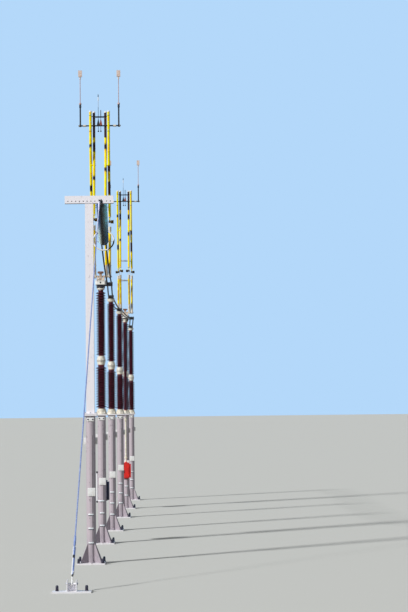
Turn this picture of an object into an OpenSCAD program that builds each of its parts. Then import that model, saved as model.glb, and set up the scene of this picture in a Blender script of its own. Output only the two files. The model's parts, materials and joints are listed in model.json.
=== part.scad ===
// Substation switchgear bay: one guyed row of a high-voltage yard. A mast carries the end of a
// twin conductor on a glass string, and five posts carry it on. Two of them are pantograph
// disconnectors, drawn closed on the trapezes that they grip.
// X runs across the row, Y along it away from the guy's anchor, and Z up from the ground.
// The origin is the middle of the underside of the mast's base plate.

/* [Row] */
// Distance from the mast to the guy's ground anchor
anchor_reach = 6350; // [5500:50:7500]
// Place of the guy's ground anchor across the row
anchor_x = -25; // [-100:5:100]
// Place of the first disconnector along the row
pole_2_y = 6100; // [6000:50:6800]
// Place of the first disconnector across the row
pole_2_x = -50; // [-80:5:80]
// Place of the first plain post along the row
post_3_y = 11100; // [9500:50:12500]
// Place of the second plain post along the row
post_4_y = 17450; // [15500:50:18500]
// Place of the second disconnector along the row
pole_5_y = 22750; // [20500:50:23500]
// Place of the last plain post along the row
post_6_y = 28800; // [26000:50:29000]

/* [Columns] */
// Height of a column from the ground to the top of its head plate
column_h = 3440; // [3000:10:3900]
// Outside diameter of a column's tube
tube_d = 219; // [180:1:260]
// Side of the square base plate
plate_w = 650; // [600:10:720]
// Thickness of the base plate
plate_t = 30; // [20:1:40]
// Distance between the anchor bolts along one side of the base plate
bolt_pitch = 560; // [480:5:570]
// Diameter of the holes for the anchor bolts
bolt_hole_d = 36; // [24:1:42]
// Height of the gusset ribs above the base plate
rib_h = 440; // [300:10:600]
// Distance from the column's axis to the toe of a rib
rib_reach = 325; // [250:5:350]
// Thickness of a rib
rib_t = 14; // [8:1:20]
// Width of the head plate across the row
head_w = 300; // [250:5:340]
// Thickness of the head plate
head_t = 30; // [20:1:40]
// Height of the middle of the side lugs
lug_z = 2830; // [2500:10:2900]
// Height of a side lug
lug_h = 160; // [100:5:220]
// How far a side lug stands out from the tube
lug_reach = 50; // [30:1:80]
// Thickness of a side lug
lug_t = 15; // [8:1:25]

/* [Mast] */
// Width of the mast's square hollow section
mast_w = 190; // [150:5:220]
// Height of the mast's top above the ground
mast_top = 8370; // [8000:10:8800]
// Width of the mast's foot flange
mast_flange_w = 310; // [290:5:350]
// Thickness of the mast's foot flange
mast_flange_t = 30; // [20:1:40]
// Length of the crossarm
arm_l = 1140; // [1000:10:1400]
// Height of the crossarm channel
arm_h = 180; // [140:5:220]
// Depth of the crossarm channel along the row
arm_d = 110; // [80:5:150]
// Wall thickness of the crossarm channel
arm_t = 10; // [6:1:14]
// Distance between the holes along the crossarm
arm_hole_pitch = 90; // [80:1:95]
// Diameter of the holes in the crossarm
arm_hole_d = 22; // [14:1:28]
// Height of the line of holes above the crossarm's underside
arm_hole_z = 52; // [40:1:60]

/* [Glass string] */
// Distance from the mast's middle to the string, across the row
string_x = 285; // [200:5:330]
// Slope of the string below level, in degrees
string_slope = 10; // [6:0.5:12]
// Turn of the string towards the middle of the row, in degrees
string_veer = 2; // [0:0.5:3]
// Number of glass discs
disc_count = 22; // [18:1:23]
// Distance from one disc to the next
disc_pitch = 146; // [140:1:150]
// Diameter of a glass disc
disc_d = 255; // [220:1:280]
// Diameter of the iron cap over a disc
cap_d = 104; // [80:1:120]
// Diameter of the grading ring, to the middle of its tube
ring_d = 515; // [480:5:640]
// Diameter of the grading ring's tube
ring_tube_d = 35; // [25:1:45]

/* [Guy] */
// Distance from the mast's middle to the top of the guy, across the row
guy_x = 240; // [200:5:330]
// Diameter of the guy rope
guy_d = 28; // [18:1:36]
// Length of the turnbuckle between its pin and the rope
turnbuckle_l = 900; // [700:10:1100]
// Length of the anchor plate across the row
anchor_plate_l = 760; // [720:10:900]
// Width of the anchor plate along the row
anchor_plate_w = 260; // [220:10:320]
// Distance between the anchor plate's two bolts
anchor_bolt_pitch = 575; // [560:5:640]
// Height of the anchor's pin above the ground
anchor_pin_z = 170; // [150:5:220]

/* [Post insulators] */
// Height of the bottom casting of a post insulator
foot_h = 150; // [120:5:180]
// Length of the lower porcelain
lower_porcelain_h = 1180; // [1000:10:1300]
// Height of the two castings in the middle, together
middle_h = 230; // [180:5:260]
// Length of the upper porcelain
upper_porcelain_h = 1790; // [1500:10:1900]
// Height of the top casting
top_h = 80; // [60:5:110]
// Shed diameter of the lower porcelain
lower_shed_d = 280; // [250:1:300]
// Core diameter of the lower porcelain
lower_core_d = 188; // [150:1:196]
// Shed diameter of the upper porcelain
upper_shed_d = 250; // [225:1:265]
// Core diameter of the upper porcelain
upper_core_d = 166; // [130:1:180]
// Distance from one shed to the next
shed_pitch = 67; // [60:1:75]

/* [Twin conductor] */
// Diameter of one conductor
conductor_d = 40; // [28:1:42]
// Distance between the two conductors
conductor_gap = 110; // [90:5:130]
// Sag of the conductors in a span between posts
conductor_sag = 90; // [0:5:150]
// Height of the conductors above the top casting of a plain post
conductor_rise = 75; // [60:1:90]
// Distance from a disconnector's axis to the middle of the twin conductor
pass_x = 235; // [225:1:300]
// Height of the conductors above the top casting where they pass a disconnector
pass_rise = 80; // [60:5:90]

/* [Pantograph] */
// Width of the drive housing across the row
housing_w = 275; // [240:5:290]
// Height of the drive housing
housing_h = 110; // [100:5:130]
// Thickness of the plate under the drive housing
housing_foot_t = 50; // [35:1:60]
// Height of the arms' pivot above the drive housing
pivot_rise = 110; // [90:1:120]
// Length of a lower arm between its pivots
lower_arm_l = 1535; // [1400:5:1600]
// Angle of the arms from upright when the disconnector is closed
closed_angle = 10; // [8:0.5:13]
// Length of the upright part of an upper arm when closed, from the crank to the tip
rail_l = 1066; // [950:1:1180]
// Diameter of an arm's tube
arm_tube_d = 70; // [60:1:76]
// Distance between the tubes of the wide frame
wide_w = 490; // [470:5:520]
// Distance between the tubes of the narrow frame
narrow_w = 310; // [295:5:320]
// Diameter of the pivot shaft
shaft_d = 40; // [30:1:50]
// Width of a hub on the pivot shaft
hub_w = 50; // [40:1:56]
// Diameter of a hub
hub_d = 96; // [84:1:110]
// Length of an arm's cast root
root_l = 320; // [250:5:400]
// Length of the contact strip at an arm's tip
strip_l = 670; // [500:10:700]
// Thickness of the contact strip
strip_t = 12; // [8:1:16]

/* [Trapeze] */
// Distance from the arm tips down to the trapeze bar
bar_under = 360; // [250:10:450]
// Diameter of the trapeze bar
bar_d = 36; // [30:1:45]
// Distance between the trapeze's hangers
hanger_w = 1040; // [900:10:1200]
// Length of the thick part of a hanger, up from the bar
hanger_thick_l = 560; // [460:10:760]
// Length of the thin part of a hanger, up to the rope that the trapeze hangs from
hanger_thin_l = 900; // [700:10:1100]
// Diameter of the rope that a hanger's clamp takes
rope_d = 30; // [24:1:36]

/* [Drive] */
// Distance from a disconnector's axis to its rotating insulator
rotor_reach = 350; // [320:5:400]
// Diameter of the drive shaft
drive_shaft_d = 60; // [45:1:75]
// Height of the motor box's underside above the ground
box_z = 1120; // [900:10:1300]
// Height of the motor box
box_h = 550; // [450:10:650]
// Width of the motor box
box_w = 245; // [220:5:300]
// Depth of the motor box
box_d = 220; // [180:5:230]
// Shed diameter of the rotating insulator
rotor_shed_d = 150; // [130:1:170]
// Core diameter of the rotating insulator
rotor_core_d = 84; // [70:1:100]

/* [Clearances] */
// Clearance between a pin and its bore, on the radius
pin_clear = 0.3; // [0.2:0.05:0.5]
// Gap between moving cheeks, eyes and hubs that lie side by side
side_clear = 5; // [4:0.5:6]
// Gap between the trapeze bar and the contact strips when closed
grip_clear = 0.3; // [0.2:0.05:0.6]

/* [Hidden] */
$fn = 48;

// Heights that follow from the columns and the insulators
lower_porcelain_z = column_h + foot_h;
middle_z = lower_porcelain_z + lower_porcelain_h;
upper_porcelain_z = middle_z + middle_h;
top_z = upper_porcelain_z + upper_porcelain_h;
insulator_top = top_z + top_h;
housing_z = insulator_top + housing_foot_t;
pivot_z = housing_z + housing_h + pivot_rise;

// How far one body of a solid reaches into the next, so that they join
bite = 1;

// The end of the row that the string and the guy hang from
arm_face_y = arm_d / 2;
hang_z = mast_top + arm_hole_z;
shackle_l = 160;
string_start = [string_x, arm_face_y + 30, hang_z];
disc_row_l = disc_count * disc_pitch;
yoke_l = 150;
cap_h = 70;
string_pin_d = 26;
string_dir = [-cos(string_slope) * sin(string_veer), cos(string_slope) * cos(string_veer), -sin(string_slope)];
yoke_end = string_start + (shackle_l + disc_row_l + yoke_l) * string_dir;
// Sleeves behind the yoke, and how deep the conductors reach into them
sleeve_l = 240;
socket_l = 120;
sleeve_d = 58;

// The side of its column on which a disconnector has its drive: behind it or in front of it
drive_side_2 = 1;
drive_side_5 = -1;

galvanised = [0.66, 0.64, 0.68];
zinc_light = [0.86, 0.85, 0.86];
porcelain_brown = [0.24, 0.06, 0.09];
casting_cream = [0.86, 0.85, 0.78];
arm_yellow = [0.98, 0.86, 0.05];
contact_dark = [0.16, 0.10, 0.09];
conductor_black = [0.10, 0.10, 0.11];
glass_teal = [0.06, 0.36, 0.42];
box_red = [0.88, 0.12, 0.08];
rope_steel = [0.42, 0.50, 0.68];

// A cylinder along X, centred on its point
module bar_x(d, l) {
    rotate([0, 90, 0]) cylinder(d = d, h = l, center = true);
}

// A box centred on its point across the row and along it, standing on its point
module stand(size) {
    translate([-size[0] / 2, -size[1] / 2, 0]) cube(size);
}

// A round rod from one point to another
module rod(from, to, d) {
    v = to - from;
    l = norm(v);
    translate(from)
        rotate([0, acos(v[2] / l), atan2(v[1], v[0])])
            cylinder(d = d, h = l);
}

// Turns its children from upright to a direction along the row, with their Y across the row
module aim(at, dir) {
    l = norm(dir);
    translate(at)
        rotate([0, acos(dir[2] / l), atan2(dir[1], dir[0])])
            children();
}

module square_holes(pitch, d, t) {
    for (sx = [-1, 1])
        for (sy = [-1, 1])
            translate([sx * pitch / 2, sy * pitch / 2, -1])
                cylinder(d = d, h = t + 2);
}

// Base plate, tube, four diagonal ribs, side lugs and head plate of one column
module column(reach_front = 0, reach_back = 0) {
    color(galvanised) {
        difference() {
            stand([plate_w, plate_w, plate_t]);
            square_holes(bolt_pitch, bolt_hole_d, plate_t);
        }
        cylinder(d = tube_d, h = column_h);
        for (turn = [45 : 90 : 315])
            rotate([0, 0, turn]) rib();
        for (sx = [-1, 1])
            translate([sx * (tube_d / 2 + lug_reach / 2 - 5), 0, lug_z])
                cube([lug_reach + 10, lug_t, lug_h], center = true);
        head_plate(reach_front, reach_back);
    }
}

module rib() {
    rib_toe = 40;
    translate([0, rib_t / 2, plate_t])
        rotate([90, 0, 0])
            linear_extrude(rib_t)
                polygon([
                    [tube_d / 2 - 10, 0], [rib_reach, 0], [rib_reach, rib_toe],
                    [tube_d / 2 + 8, rib_h], [tube_d / 2 - 10, rib_h]
                ]);
}

// The head plate runs on in front of or behind the column where a rotating insulator stands on it
module head_plate(reach_front, reach_back) {
    front = head_w / 2 + reach_front;
    back = head_w / 2 + reach_back;
    translate([-head_w / 2, -front, column_h - head_t])
        cube([head_w, front + back, head_t]);
}

rotor_margin = 95;
head_reach = rotor_reach + rotor_margin - head_w / 2;
bearing_h = 90;
bearing_d = 130;
box_arm_t = 12;
box_arm_h = 60;

// A column that also carries a drive: a bearing in its head plate and two brackets for the box
module drive_column(side) {
    bore_d = drive_shaft_d + 2 * pin_clear;
    difference() {
        union() {
            if (side > 0) column(0, head_reach);
            else column(head_reach, 0);
            color(galvanised) {
                translate([0, side * rotor_reach, column_h - head_t - bearing_h])
                    cylinder(d = bearing_d, h = bearing_h + 1);
                for (z = [box_z + 60, box_z + box_h - 60 - box_arm_h])
                    box_bracket(side, z);
            }
        }
        translate([0, side * rotor_reach, column_h - head_t - bearing_h - 1])
            cylinder(d = bore_d, h = bearing_h + head_t + 2);
    }
}

// Two flat bars from the tube to the motor box's back
module box_bracket(side, z) {
    reach = rotor_reach - box_d / 2;
    for (sx = [-1, 1])
        translate([sx * 70 - box_arm_t / 2, side > 0 ? tube_d / 4 : -reach, z])
            cube([box_arm_t, reach - tube_d / 4, box_arm_h]);
}

// Bare porcelain at each end of a stack of sheds
shed_margin = 40;

// One stack of sheds: each shed slopes down outwards and has a thin drip edge
module sheds(core_d, shed_d, h) {
    n = floor((h - 2 * shed_margin) / shed_pitch);
    step = (h - 2 * shed_margin) / n;
    under = 4;
    drip = 7;
    rim = 14;
    slope_end = 44;
    profile = [for (i = [0 : n - 1])
        for (p = [
            [core_d / 2, under],
            [shed_d / 2 - 3, drip],
            [shed_d / 2, rim],
            [core_d / 2, slope_end]
        ]) p + [0, shed_margin + i * step]];
    rotate_extrude()
        polygon(concat([[0, 0], [core_d / 2, 0]], profile, [[core_d / 2, h], [0, h]]));
}

module post_porcelain() {
    color(porcelain_brown) {
        translate([0, 0, lower_porcelain_z])
            sheds(lower_core_d, lower_shed_d, lower_porcelain_h);
        translate([0, 0, upper_porcelain_z])
            sheds(upper_core_d, upper_shed_d, upper_porcelain_h);
    }
}

// The bottom, middle and top castings of a post insulator
module post_castings() {
    foot_flange_d = 300;
    foot_neck_d = 230;
    waist_d = 236;
    waist_t = 34;
    collar_d = 200;
    top_d = 226;
    color(casting_cream) {
        translate([0, 0, column_h])
            rotate_extrude()
                polygon([[0, 0], [foot_flange_d / 2, 0], [foot_flange_d / 2, 24],
                    [foot_neck_d / 2, 60], [foot_neck_d / 2, foot_h], [0, foot_h]]);
        translate([0, 0, middle_z])
            rotate_extrude()
                polygon([[0, 0], [collar_d / 2, 0], [collar_d / 2 + 6, middle_h / 2 - waist_t],
                    [waist_d / 2, middle_h / 2 - waist_t / 2], [waist_d / 2, middle_h / 2 + waist_t / 2],
                    [collar_d / 2 + 6, middle_h / 2 + waist_t], [collar_d / 2, middle_h], [0, middle_h]]);
        translate([0, 0, top_z])
            rotate_extrude()
                polygon([[0, 0], [collar_d / 2, 0], [collar_d / 2, top_h / 2],
                    [top_d / 2, top_h - 24], [top_d / 2, top_h], [0, top_h]]);
    }
}

module mast_post() {
    post_z = column_h + mast_flange_t;
    color(zinc_light) {
        translate([0, 0, column_h])
            stand([mast_flange_w, mast_flange_w, mast_flange_t]);
        translate([0, 0, post_z - 1])
            stand([mast_w, mast_w, mast_top - post_z + 1]);
    }
}

// A channel with its web towards the anchor and a line of holes near its lower edge
module mast_crossarm() {
    hole_n = 12;
    hole_run = (hole_n - 1) * arm_hole_pitch;
    color(zinc_light)
        translate([0, 0, mast_top])
            difference() {
                stand([arm_l, arm_d, arm_h]);
                translate([-arm_l / 2 - 1, -arm_d / 2 + arm_t, arm_t])
                    cube([arm_l + 2, arm_d, arm_h - 2 * arm_t]);
                for (i = [0 : hole_n - 1])
                    translate([-hole_run / 2 + i * arm_hole_pitch, -arm_d / 2 - 1, arm_hole_z])
                        rotate([-90, 0, 0])
                            cylinder(d = arm_hole_d, h = arm_t + 2);
            }
}

// Iron parts of the string: the shackle on the crossarm, the caps and pins, the yoke and the
// sleeves that end the conductors
module string_fittings() {
    lug_w = 30;
    cap_top_share = 0.72;
    yoke_t = 24;
    yoke_h = 60;
    color(casting_cream) {
        translate([string_x - lug_w / 2, -arm_face_y + arm_t, hang_z - lug_w])
            cube([lug_w, string_start[1] + arm_face_y - arm_t, 2 * lug_w]);
        aim(string_start, string_dir) {
            cylinder(d = string_pin_d, h = shackle_l + disc_row_l + yoke_l);
            for (i = [0 : disc_count - 1])
                translate([0, 0, shackle_l + i * disc_pitch])
                    cylinder(d1 = cap_d * cap_top_share, d2 = cap_d, h = cap_h);
            translate([0, 0, shackle_l + disc_row_l + yoke_l - yoke_h / 2])
                cube([yoke_t, clamp_w, yoke_h], center = true);
            for (s = [-1, 1])
                translate([0, s * conductor_gap / 2, shackle_l + disc_row_l + yoke_l - bite])
                    sleeve();
        }
    }
}

module sleeve() {
    difference() {
        cylinder(d = sleeve_d, h = sleeve_l + bite);
        translate([0, 0, sleeve_l + bite - socket_l])
            cylinder(d = conductor_d + 2 * pin_clear, h = socket_l + bite);
    }
}

// Glass shells, each seated under its cap with a dished face and a drip rim
module string_glass() {
    shell_h = 46;
    bore = string_pin_d / 2;
    color(glass_teal)
        aim(string_start, string_dir)
            for (i = [0 : disc_count - 1])
                translate([0, 0, shackle_l + i * disc_pitch + cap_h])
                    rotate_extrude()
                        polygon([[bore, 0], [cap_d / 2 + 4, 0], [disc_d / 2 - 10, 26],
                            [disc_d / 2, 36], [disc_d / 2 - 6, shell_h], [disc_d / 2 - 26, 38],
                            [disc_d / 2 - 34, 50], [disc_d / 2 - 42, 36], [bore + 26, 40],
                            [bore, 34]]);
}

// The ring stands round the last discs, on two arms from the yoke
module grading_ring() {
    arm_rod_d = 14;
    pad_t = 18;
    ring_at = shackle_l + disc_row_l - 40;
    yoke_at = shackle_l + disc_row_l + yoke_l - 30;
    half = clamp_w / 2;
    color(zinc_light)
        aim(string_start, string_dir) {
            translate([0, 0, ring_at])
                rotate_extrude()
                    translate([ring_d / 2, 0])
                        circle(d = ring_tube_d);
            for (s = [-1, 1]) {
                rod([0, s * ring_d / 2, ring_at], [0, s * (half + pad_t / 2), yoke_at], arm_rod_d);
                translate([0, s * (half + pad_t / 2), yoke_at])
                    cube([24, pad_t, 40], center = true);
            }
        }
}

// Guy: rope from the crossarm to the turnbuckle, on a pin in the ground anchor
guy_top = [guy_x, -arm_face_y - 20, hang_z];
guy_foot = [anchor_x, -anchor_reach, anchor_pin_z];
guy_dir = (guy_top - guy_foot) / norm(guy_top - guy_foot);
rope_foot = guy_foot + turnbuckle_l * guy_dir;

module guy_anchor() {
    cheek_t = 20;
    cheek_w = 200;
    cheek_x = 90;
    cheek_over = 75;
    pin_d = 36;
    color(galvanised)
        translate([anchor_x, -anchor_reach, 0]) {
            difference() {
                stand([anchor_plate_l, anchor_plate_w, plate_t]);
                for (sx = [-1, 1])
                    translate([sx * anchor_bolt_pitch / 2, 0, -1])
                        cylinder(d = bolt_hole_d, h = plate_t + 2);
            }
            for (sx = [-1, 1])
                translate([sx * cheek_x, 0, 0])
                    stand([cheek_t, cheek_w, anchor_pin_z + cheek_over]);
            translate([0, 0, anchor_pin_z])
                bar_x(pin_d, 2 * cheek_x);
        }
}

module guy_turnbuckle() {
    eye_d = 90;
    eye_w = 60;
    pin_d = 36;
    side_d = 22;
    side_x = 34;
    body_from = 230;
    body_end = 90;
    body_to = turnbuckle_l - body_end;
    block_t = 40;
    eye_rod_d = 30;
    eye_rod_in = 60;
    socket_d = 44;
    color(casting_cream)
        difference() {
            union() {
                translate(guy_foot) bar_x(eye_d, eye_w);
                aim(guy_foot, guy_dir) {
                    cylinder(d = eye_rod_d, h = body_from + eye_rod_in);
                    for (s = [-1, 1])
                        translate([0, s * side_x, body_from])
                            cylinder(d = side_d, h = body_to - body_from);
                    for (z = [body_from, body_to - block_t])
                        translate([-block_t / 2, -side_x - side_d / 2, z])
                            cube([block_t, 2 * side_x + side_d, block_t]);
                    translate([0, 0, body_to - eye_rod_in])
                        cylinder(d = socket_d, h = turnbuckle_l - body_to + eye_rod_in);
                }
            }
            translate(guy_foot) bar_x(pin_d + 2 * pin_clear, eye_w + 4);
        }
}

module guy_rope() {
    lug_t = 24;
    lug_w = 60;
    color(rope_steel) {
        rod(rope_foot, guy_top, guy_d);
        translate([guy_x - lug_t / 2, -arm_face_y - lug_w, hang_z - lug_w / 2])
            cube([lug_t, lug_w, lug_w]);
    }
}

// Blocks that hold the two conductors on the plain posts, and arms that hold them beside a drive
clamp_w = conductor_gap + 60;
clamp_wall = 14;
// The conductors pass a drive housing with room to spare, however wide it is
hold_x = max(pass_x, (housing_w + clamp_w) / 2 + 2 * side_clear);

// Where the twin conductor is held, one point a post, from the string to the last post
twin_holds = [
    yoke_end,
    [pole_2_x + hold_x, pole_2_y, insulator_top + pass_rise],
    [0, post_3_y, insulator_top + conductor_rise],
    [0, post_4_y, insulator_top + conductor_rise],
    [hold_x, pole_5_y, insulator_top + pass_rise],
    [0, post_6_y, insulator_top + conductor_rise]
];
last_hold = len(twin_holds) - 1;
clamp_l = 90;
span_steps = 6;
socket_gap = 5;
// A conductor lies straight inside each clamp, where one span ends and the next begins, and sags
// between them. The first span starts inside the sleeves, and the last one ends behind its clamp.
function sagging(a, b, t) = a + t * (b - a) - [0, 0, 4 * conductor_sag * t * (1 - t)];
function entry(i) = twin_holds[i] - [0, clamp_l / 2, 0];
function leave(i) = i == 0 ? yoke_end + sleeve_l * string_dir : twin_holds[i] + [0, clamp_l / 2, 0];
function span_start(i) = i == 0 ? yoke_end + (sleeve_l - socket_l + socket_gap) * string_dir : twin_holds[i];
function span_end(i) = i == last_hold ? leave(i) : twin_holds[i];
function span_route(i) = [
    span_start(i - 1),
    for (k = [0 : span_steps]) sagging(leave(i - 1), entry(i), k / span_steps),
    span_end(i)
];

// A tube of eight sides along a route whose rings stand across the row
module swept(route, d) {
    sides = 8;
    n = len(route);
    points = [for (p = route)
        for (j = [0 : sides - 1])
            p + d / 2 * [cos(j * 360 / sides + 22.5), 0, sin(j * 360 / sides + 22.5)]];
    walls = [for (i = [0 : n - 2])
        for (j = [0 : sides - 1])
            let (a = i * sides + j, b = i * sides + (j + 1) % sides)
                each [[a, a + sides, b], [b, a + sides, b + sides]]];
    first = [for (j = [0 : sides - 1]) j];
    last = [for (j = [sides - 1 : -1 : 0]) (n - 1) * sides + j];
    polyhedron(points, concat(walls, [first], [last]));
}

module conductor_span(i) {
    color(conductor_black)
        for (s = [-1, 1])
            translate([s * conductor_gap / 2, 0, 0])
                swept(span_route(i), conductor_d);
}

module clamp_bores() {
    for (s = [-1, 1])
        translate([s * conductor_gap / 2, 0, 0])
            rotate([90, 0, 0])
                cylinder(d = conductor_d + 2 * pin_clear, h = 2 * clamp_l, center = true);
}

module post_clamp() {
    foot_w = 180;
    foot_l = 150;
    foot_t = 20;
    difference() {
        union() {
            stand([foot_w, foot_l, foot_t]);
            stand([clamp_w, clamp_l, conductor_rise + conductor_d / 2 + clamp_wall]);
        }
        translate([0, 0, conductor_rise]) clamp_bores();
    }
}

module pass_clamp() {
    arm_t = 24;
    arm_w = clamp_l - 20;
    arm_z = (housing_foot_t - arm_t) / 2;
    difference() {
        union() {
            translate([hold_x, 0, arm_z])
                stand([clamp_w, clamp_l, pass_rise + conductor_d / 2 + clamp_wall - arm_z]);
            translate([0, -arm_w / 2, arm_z])
                cube([hold_x - clamp_w / 2 + bite, arm_w, arm_t]);
        }
        translate([0, 0, -bite]) cylinder(d = housing_foot_d, h = housing_foot_t + 2 * bite);
        translate([hold_x, 0, pass_rise]) clamp_bores();
    }
}

module conductor_clamps() {
    color(casting_cream)
        translate([0, 0, insulator_top]) {
            for (y = [post_3_y, post_4_y, post_6_y])
                at_y(y) post_clamp();
            at_2() pass_clamp();
            at_y(pole_5_y) pass_clamp();
        }
}

// Drive housing, its foot, the pedestals and the shaft that all four arms turn on
housing_foot_d = 226;
boss_h = 40;
pedestal_t = 45;
pedestal_w = 110;
pedestal_top_d = 70;
pedestal_in = 25;
pedestal_x = (narrow_w - hub_w - pedestal_t) / 2 - pedestal_in;
shaft_out = 10;
shaft_l = wide_w + hub_w + 2 * shaft_out;

module drive_housing(side) {
    front = 150;
    back = rotor_reach + rotor_margin;
    color(casting_cream)
        difference() {
            union() {
                translate([0, 0, insulator_top]) cylinder(d = housing_foot_d, h = housing_foot_t + bite);
                translate([0, side > 0 ? -front : -back, 0]) {
                    translate([0, 0, housing_z])
                        rounded_block(housing_w, front + back, housing_h, housing_r);
                    translate([0, -lid_over, housing_z + housing_h - lid_t])
                        rounded_block(housing_w + 2 * lid_over, front + back + 2 * lid_over, lid_t,
                            housing_r + lid_over);
                }
                translate([0, side * rotor_reach, housing_z - boss_h])
                    cylinder(d = bearing_d, h = boss_h + bite);
                translate([0, 0, housing_z + housing_h - bite]) {
                    for (s = [-1, 1])
                        translate([s * pedestal_x, 0, 0]) pedestal();
                    stand([buffer_w, buffer_l, buffer_h + bite]);
                }
                translate([0, 0, housing_z + housing_h + buffer_h]) bar_x(buffer_d, buffer_head_l);
                translate([0, 0, pivot_z]) bar_x(shaft_d, shaft_l);
            }
            translate([0, side * rotor_reach, housing_z - boss_h - bite])
                cylinder(d = drive_shaft_d + 2 * pin_clear, h = 2 * boss_h + bite);
        }
}

// The buffer that the arms' cranks rest on stands between the pedestals
buffer_w = 70;
buffer_l = 96;
buffer_h = 225;
buffer_d = 62;
buffer_head_l = 150;
housing_r = 36;
lid_t = 16;
lid_over = 7;

// A block with rounded upright edges, centred across the row and starting at y = 0
module rounded_block(w, l, h, r) {
    translate([-w / 2 + r, 0, 0]) cube([w - 2 * r, l, h]);
    translate([-w / 2, r, 0]) cube([w, l - 2 * r, h]);
    for (x = [-w / 2 + r, w / 2 - r])
        for (y = [r, l - r])
            translate([x, y, 0]) cylinder(r = r, h = h);
}

module pedestal() {
    hull() {
        stand([pedestal_t, pedestal_w, bite]);
        translate([0, 0, pivot_rise + bite]) bar_x(pedestal_top_d, pedestal_t);
    }
}

// Knee: the lower arm ends in a fork of two cheeks and carries the pin; the upper arm has the eye
eye_w = 36;
eye_d = 56;
cheek_t = 9;
cheek_h = 40;
knee_pin_d = 24;
fork_l = 200;
eye_l = 130;
knee_boss_d = 90;
knee_boss_l = 70;
knee_rim_d = 104;
knee_rim_t = 14;
// A root is as thick as the gap between the two frames' tubes allows
root_d = min(arm_tube_d + 14, (wide_w - narrow_w) / 2 - side_clear);

// One lower arm, upright from its pivot, with tubes this far apart. Its knee bosses point
// outwards on the wide frame and inwards on the narrow one.
module lower_arm(w, boss_side) {
    bridge_under = 330;
    bridge_z = lower_arm_l - bridge_under;
    bridge_d = 32;
    collar_h = 26;
    ferrule_h = 110;
    ferrule_d = arm_tube_d + 12;
    pin_out = 4;
    cheek_out = eye_w / 2 + side_clear + cheek_t;
    color(arm_yellow)
        difference() {
            union() {
                for (s = [-1, 1])
                    translate([s * w / 2, 0, 0]) {
                        bar_x(hub_d, hub_w);
                        cylinder(d1 = root_d, d2 = arm_tube_d + 4, h = root_l);
                        translate([0, 0, root_l - collar_h])
                            cylinder(d = root_d, h = collar_h);
                        cylinder(d = arm_tube_d, h = lower_arm_l - fork_l);
                        translate([0, 0, lower_arm_l - fork_l - ferrule_h / 2])
                            cylinder(d = ferrule_d, h = ferrule_h);
                        translate([0, 0, lower_arm_l]) {
                            bar_x(knee_pin_d, 2 * (cheek_out + pin_out));
                            translate([s * boss_side * (cheek_out + knee_boss_l / 2 - bite), 0, 0])
                                bar_x(knee_boss_d, knee_boss_l);
                            translate([s * boss_side * (cheek_out + knee_boss_l - knee_rim_t / 2), 0, 0])
                                bar_x(knee_rim_d, knee_rim_t);
                        }
                        for (c = [-1, 1])
                            translate([c * (cheek_out - cheek_t / 2), 0, 0])
                                cheek();
                    }
                translate([0, 0, bridge_z]) bar_x(bridge_d, w);
            }
            bar_x(shaft_d + 2 * pin_clear, w + 2 * hub_w);
        }
}

module cheek() {
    cheek_in = 10;
    translate([0, 0, lower_arm_l]) bar_x(eye_d, cheek_t);
    translate([0, 0, lower_arm_l - fork_l - cheek_in])
        stand([cheek_t, cheek_h, fork_l + cheek_in]);
}

// Upper arm: from the knee to the crossing, on to the crank, and upright when closed to the tip
knee_z = pivot_z + lower_arm_l * cos(closed_angle);
rail_off = bar_d / 2 + grip_clear + strip_t + arm_tube_d / 2;
crank_s = lower_arm_l + rail_off / sin(closed_angle);
crank_z = knee_z + crank_s * cos(closed_angle);
cross_pin_d = 28;

// The trapeze hangs where the closed arms grip its bar
bar_z = crank_z + rail_l - bar_under;
hanger_joint_z = bar_z + hanger_thick_l;
rope_z = hanger_joint_z + hanger_thin_l;

// What lies in an arm's own frame above the crank, which bends by the closed angle
module above_crank() {
    translate([0, 0, crank_s]) rotate([closed_angle, 0, 0]) children();
}

module upper_arm(w, with_pin) {
    boss_d = arm_tube_d + 6;
    pin_short = 20;
    pin_reach = (wide_w - narrow_w) / 2 - pin_short;
    eye_in = 10;
    bridge_s = 400;
    bridge_d = 24;
    tip_bridge_under = 120;
    tip_bridge_s = rail_l - tip_bridge_under;
    tip_bridge_d = 20;
    cap_l = 26;
    cone_from = rail_l + cap_l - 6;
    cone_end_d = 30;
    color(arm_yellow)
        difference() {
            union() {
                for (s = [-1, 1])
                    translate([s * w / 2, 0, 0]) {
                        bar_x(eye_d, eye_w);
                        stand([eye_w, cheek_h, eye_l + eye_in]);
                        translate([0, 0, eye_l]) cylinder(d = arm_tube_d, h = crank_s - eye_l);
                        translate([0, 0, crank_s]) sphere(d = boss_d);
                        above_crank() {
                            cylinder(d = arm_tube_d, h = rail_l + bite);
                            translate([0, 0, rail_l]) cylinder(d = boss_d, h = cap_l);
                            translate([0, 0, cone_from])
                                cylinder(d1 = arm_tube_d + 2, d2 = cone_end_d, h = cap_l);
                        }
                        if (with_pin)
                            translate([s * pin_reach / 2, 0, lower_arm_l]) bar_x(cross_pin_d, pin_reach);
                        else
                            translate([-s * (arm_tube_d / 4 + bite), 0, lower_arm_l])
                                bar_x(boss_d, arm_tube_d / 2 + 2 * bite);
                    }
                translate([0, 0, bridge_s]) bar_x(bridge_d, w);
                above_crank() translate([0, 0, tip_bridge_s]) bar_x(tip_bridge_d, w);
            }
            bar_x(knee_pin_d + 2 * pin_clear, w + 2 * eye_w);
            if (!with_pin)
                translate([0, 0, lower_arm_l])
                    bar_x(cross_pin_d + 2 * side_clear, w - arm_tube_d / 2);
        }
}

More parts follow.
